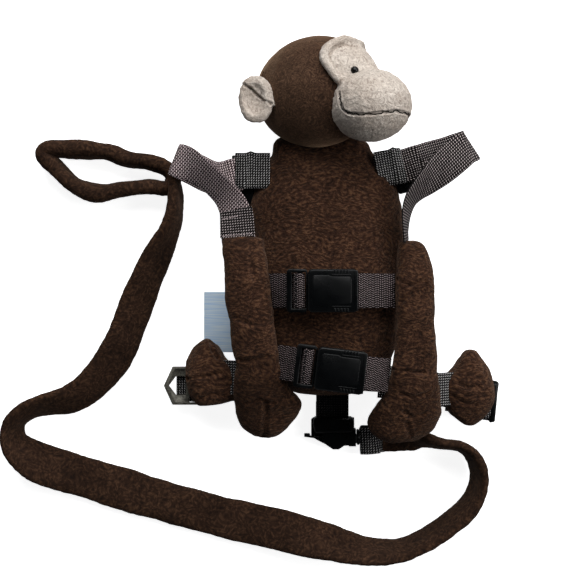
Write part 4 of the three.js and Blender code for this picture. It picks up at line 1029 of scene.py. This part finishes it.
for node, material, slot, body, edge in [
    ("buckle_male_upper", blackAcetal, "black_plastic", "harness", 0.4),
    ("buckle_female_upper", blackAcetal, "black_plastic", "harness", 0.5),
    ("buckle_male_lower", blackAcetal, "black_plastic", "harness", 0.4),
    ("buckle_female_lower", blackAcetal, "black_plastic", "harness", 0.5),
    ("shoulder_lock_right", blackAcetal, "black_plastic", "harness", 0.4),
    ("shoulder_lock_left", blackAcetal, "black_plastic", "harness", 0.4),
    ("side_lock", blackAcetal, "black_plastic", "harness", 0.4),
    ("hook_body", blackAcetal, "black_plastic", "harness", 0.5),
    ("hook_lever", blackAcetal, "black_plastic", "lever", 0.4),
    ("swivel_eye", blackAcetal, "black_plastic", "harness", 0.4),
    ("side_ring", zinc, "grey_metal", "harness", 0.5),
    ("eye_right", glassBead, "black_bead", "harness", 0.1),
    ("eye_left", glassBead, "black_bead", "harness", 0.1),
]:
    dressHard(node, material, body, edge)


def plateMesh(outline, level, edge, centre=(0, 0), turn=0):
    # a flat moulded detail in mm: level is its lowest and highest z, and its edges are rounded
    c, n = math.cos(math.radians(turn)), math.sin(math.radians(turn))
    points = [((centre[0] + x * c - y * n) / 1000, (centre[1] + x * n + y * c) / 1000, z / 1000)
              for z in level for x, y in outline]
    count = len(outline)
    faces = [tuple(range(count)), tuple(range(count, 2 * count))]
    faces += [(i, (i + 1) % count, count + (i + 1) % count, count + i) for i in range(count)]
    piece = newMesh("detail", points, faces)
    faceOutward(piece)
    finishWith(piece, "BEVEL", width=edge / 1000, segments=3, limit_method="ANGLE",
               angle_limit=math.radians(30))
    smoothShade(piece, 35)
    return piece


def boxOutline(left, right, low, high):
    return [(left, low), (right, low), (right, high), (left, high)]


def pixelPlate(plate):
    # a plate whose outline is the photograph's, read at this height
    outline = [tuple(pixelPlace(column, row, plate["height"] / 1000) * 1000)[:2]
               for column, row in plate["pixels"]]
    return plateMesh(outline, plate["level"], plate["edge"])


def squeeze(piece, centre, turn, share, shift):
    # narrows a piece across its heading and shifts it, in mm
    points = pointsOf(piece)
    across = np.array((-math.sin(math.radians(turn)), math.cos(math.radians(turn))))
    off = (points[:, :2] * 1000 - np.array(centre)) @ across
    points[:, :2] += across * ((off * (share - 1) + shift) / 1000)[:, None]
    setPoints(piece, points)


# the chest buckles' relief in mm: raised panel, collar, squeeze pads between rails, and the ladder's comb.
# box: left, right, lowest and highest from the buckle's centre; level: lowest and highest from its top
buckle = {
    "panel": {"outline": [(-15, -9.5), (-13.5, -11), (-3, -11), (-1, -10), (12, -10), (13.2, -8.5),
                          (13.2, 8.5), (12, 10), (-1, 10), (-3, 11), (-13.5, 11), (-15, 9.5)],
              "level": (-0.6, 0.35), "edge": 0.3},
    "collar": {"box": (15.2, 17.8, -14.6, 14.6), "level": (-0.8, 0.4), "edge": 0.5},
    "rail": {"box": (-0.5, 12.8, 11.0, 11.7), "level": (-0.6, 0.5), "edge": 0.2},
    "pad": {"box": (0.8, 12.0, 12.5, 15.2), "level": (-0.8, 0.25), "edge": 0.3, "ribs": 5, "rib": 1.4},
    "tooth": {"left": -27.2, "right": -23.4, "level": (-3.8, -2.0), "edge": 0.2,
              "count": 9, "pitch": 2.65, "half": 0.72},
    "rows": [("upper", (0.4, -30.9), 0, 76.0), ("lower", (6.2, -88.5), -7, 72.0)],
}


def buckleDetail(part, outline, centre, turn, top):
    low, high = part["level"]
    return plateMesh(outline, (top + low, top + high), part["edge"], centre, turn)


for row, *place in buckle["rows"]:
    panel, collar, rail, pad, tooth = (buckle[key] for key in ("panel", "collar", "rail", "pad", "tooth"))
    details = [buckleDetail(panel, panel["outline"], *place),
               buckleDetail(collar, boxOutline(*collar["box"]), *place)]
    for side in (1, -1):
        left, right, low, high = rail["box"]
        outline = boxOutline(left, right, *sorted((low * side, high * side)))
        details.append(buckleDetail(rail, outline, *place))
        left, right, low, high = pad["box"]
        for i in range(pad["ribs"]):
            start = left + (right - left) * i / pad["ribs"]
            outline = boxOutline(start, start + pad["rib"], *sorted((low * side, high * side)))
            details.append(buckleDetail(pad, outline, *place))
    joinTo(bpy.data.objects["moulded_buckle_female_" + row], details)
    comb = []
    for i in range(tooth["count"]):
        y = (i - (tooth["count"] - 1) / 2) * tooth["pitch"]
        outline = boxOutline(tooth["left"], tooth["right"], y - tooth["half"], y + tooth["half"])
        comb.append(buckleDetail(tooth, outline, *place))
    joinTo(bpy.data.objects["moulded_buckle_male_" + row], comb)

# what is narrowed to the photograph's width: centre mm, heading in degrees, share that stays and shift mm
squeezed = {
    "moulded_shoulder_lock_right": ((-78.3, 58.0), 0, 0.78, -4.2),
    "moulded_shoulder_lock_left": ((63.3, 63.7), 13, 0.86, -2.6),
    "moulded_swivel_eye": ((27.2, -144.3), 0, 0.8, -1.2),
}
for name, sizes in squeezed.items():
    squeeze(bpy.data.objects[name], *sizes)

# the locks' tails and bar, the hook's bow and web, and the swivel's collars; levels and edges in mm
plates = {
    "moulded_shoulder_lock_right": [
        {"pixels": [(235, 184), (254, 184), (254, 206), (247, 207), (239, 197)],
         "height": 32, "level": (27, 33.5), "edge": 0.8}],
    "moulded_shoulder_lock_left": [
        {"pixels": [(392, 175), (414, 171), (414, 184), (408, 192), (400, 194), (396, 186)],
         "height": 32, "level": (27, 33.5), "edge": 0.8}],
    "moulded_side_lock": [
        {"pixels": [(492.3, 383), (497.6, 384), (496.8, 396), (494.3, 421.5), (488.8, 422.5), (490.5, 400)],
         "height": 9, "level": (6.6, 12.6), "edge": 1.2}],
    "moulded_hook_body": [
        {"pixels": [(314, 417.5), (353, 417.5), (354.5, 424), (353, 433), (315, 433.5), (312.8, 424)],
         "height": 14, "level": (1.5, 14.2), "edge": 1.8},
        {"pixels": [(311.5, 430), (328, 430), (328, 441), (319, 441), (312, 437)],
         "height": 1, "level": (0.4, 1.7), "edge": 0.3}],
    "moulded_swivel_eye": [
        {"pixels": [(356.8, 430), (359.6, 430), (359.6, 445), (356.8, 445)],
         "height": 10, "level": (1.2, 10.6), "edge": 1.0},
        {"pixels": [(352.6, 432), (355.6, 432), (355.6, 443), (352.6, 443)],
         "height": 10, "level": (1.2, 10.6), "edge": 1.0}],
}
for name, details in plates.items():
    joinTo(bpy.data.objects[name], [pixelPlate(plate) for plate in details])

dressStrap("care_label", "satinLabel", satin, 0)
print("stage: hard pieces")


# Floor and light: a lit table, because the photograph's floor is white in its shadows too, and a dim room
# with grey walls and a dark ceiling, so that black plastic stays black
studio = {
    "floorSize": 4, "paper": "#f4f4f3", "paperRoughness": 0.9, "paperGlow": 0.88,
    "room": [(0.0, "#a6a9ac"), (0.45, "#7c7f83"), (0.9, "#2c2e30")], "roomLight": 0.48,
    "lamps": {"topSoft": {"place": (0.12, 1.22, 0.96), "aim": (-0.03, 0, 0.03), "size": 1.6, "power": 33.0},
              "sideFill": {"place": (1.1, 0.1, 0.8), "aim": (-0.03, 0, 0.03), "size": 0.8, "power": 9.0}},
}


def floorAndLight():
    x, y, eyeHeight = view["place"]
    bpy.ops.mesh.primitive_plane_add(size=studio["floorSize"], location=(x, y, 0))
    floor = bpy.context.object
    floor.name = "paleFloor"
    material, tree, shader = startMaterial("palePaper")
    shader.inputs["Base Color"].default_value = linear(studio["paper"])
    shader.inputs["Roughness"].default_value = studio["paperRoughness"]
    shader.inputs["Emission Color"].default_value = linear("#ffffff")
    shader.inputs["Emission Strength"].default_value = studio["paperGlow"]
    floor.data.materials.append(material)
    # it throws no light up the piece's sides
    floor.visible_diffuse = False
    floor.visible_glossy = False
    for name, lamp in studio["lamps"].items():
        data = bpy.data.lights.new(name, "AREA")
        data.energy = lamp["power"]
        data.size = lamp["size"]
        holder = bpy.data.objects.new(name, data)
        holder.location = lamp["place"]
        away = Vector(lamp["aim"]) - Vector(lamp["place"])
        holder.rotation_euler = away.to_track_quat("-Z", "Y").to_euler()
        bpy.context.scene.collection.objects.link(holder)
    world = bpy.data.worlds.new("paleRoom")
    world.use_nodes = True
    tree = world.node_tree
    way = addNode(tree, "ShaderNodeTexCoord").outputs["Generated"]
    up = addNode(tree, "ShaderNodeSeparateXYZ", {"Vector": way}).outputs["Z"]
    tree.links.new(colourBand(tree, up, studio["room"]), tree.nodes["Background"].inputs["Color"])
    tree.nodes["Background"].inputs["Strength"].default_value = studio["roomLight"]
    bpy.context.scene.world = world


floorAndLight()
print("stage: floor and light")
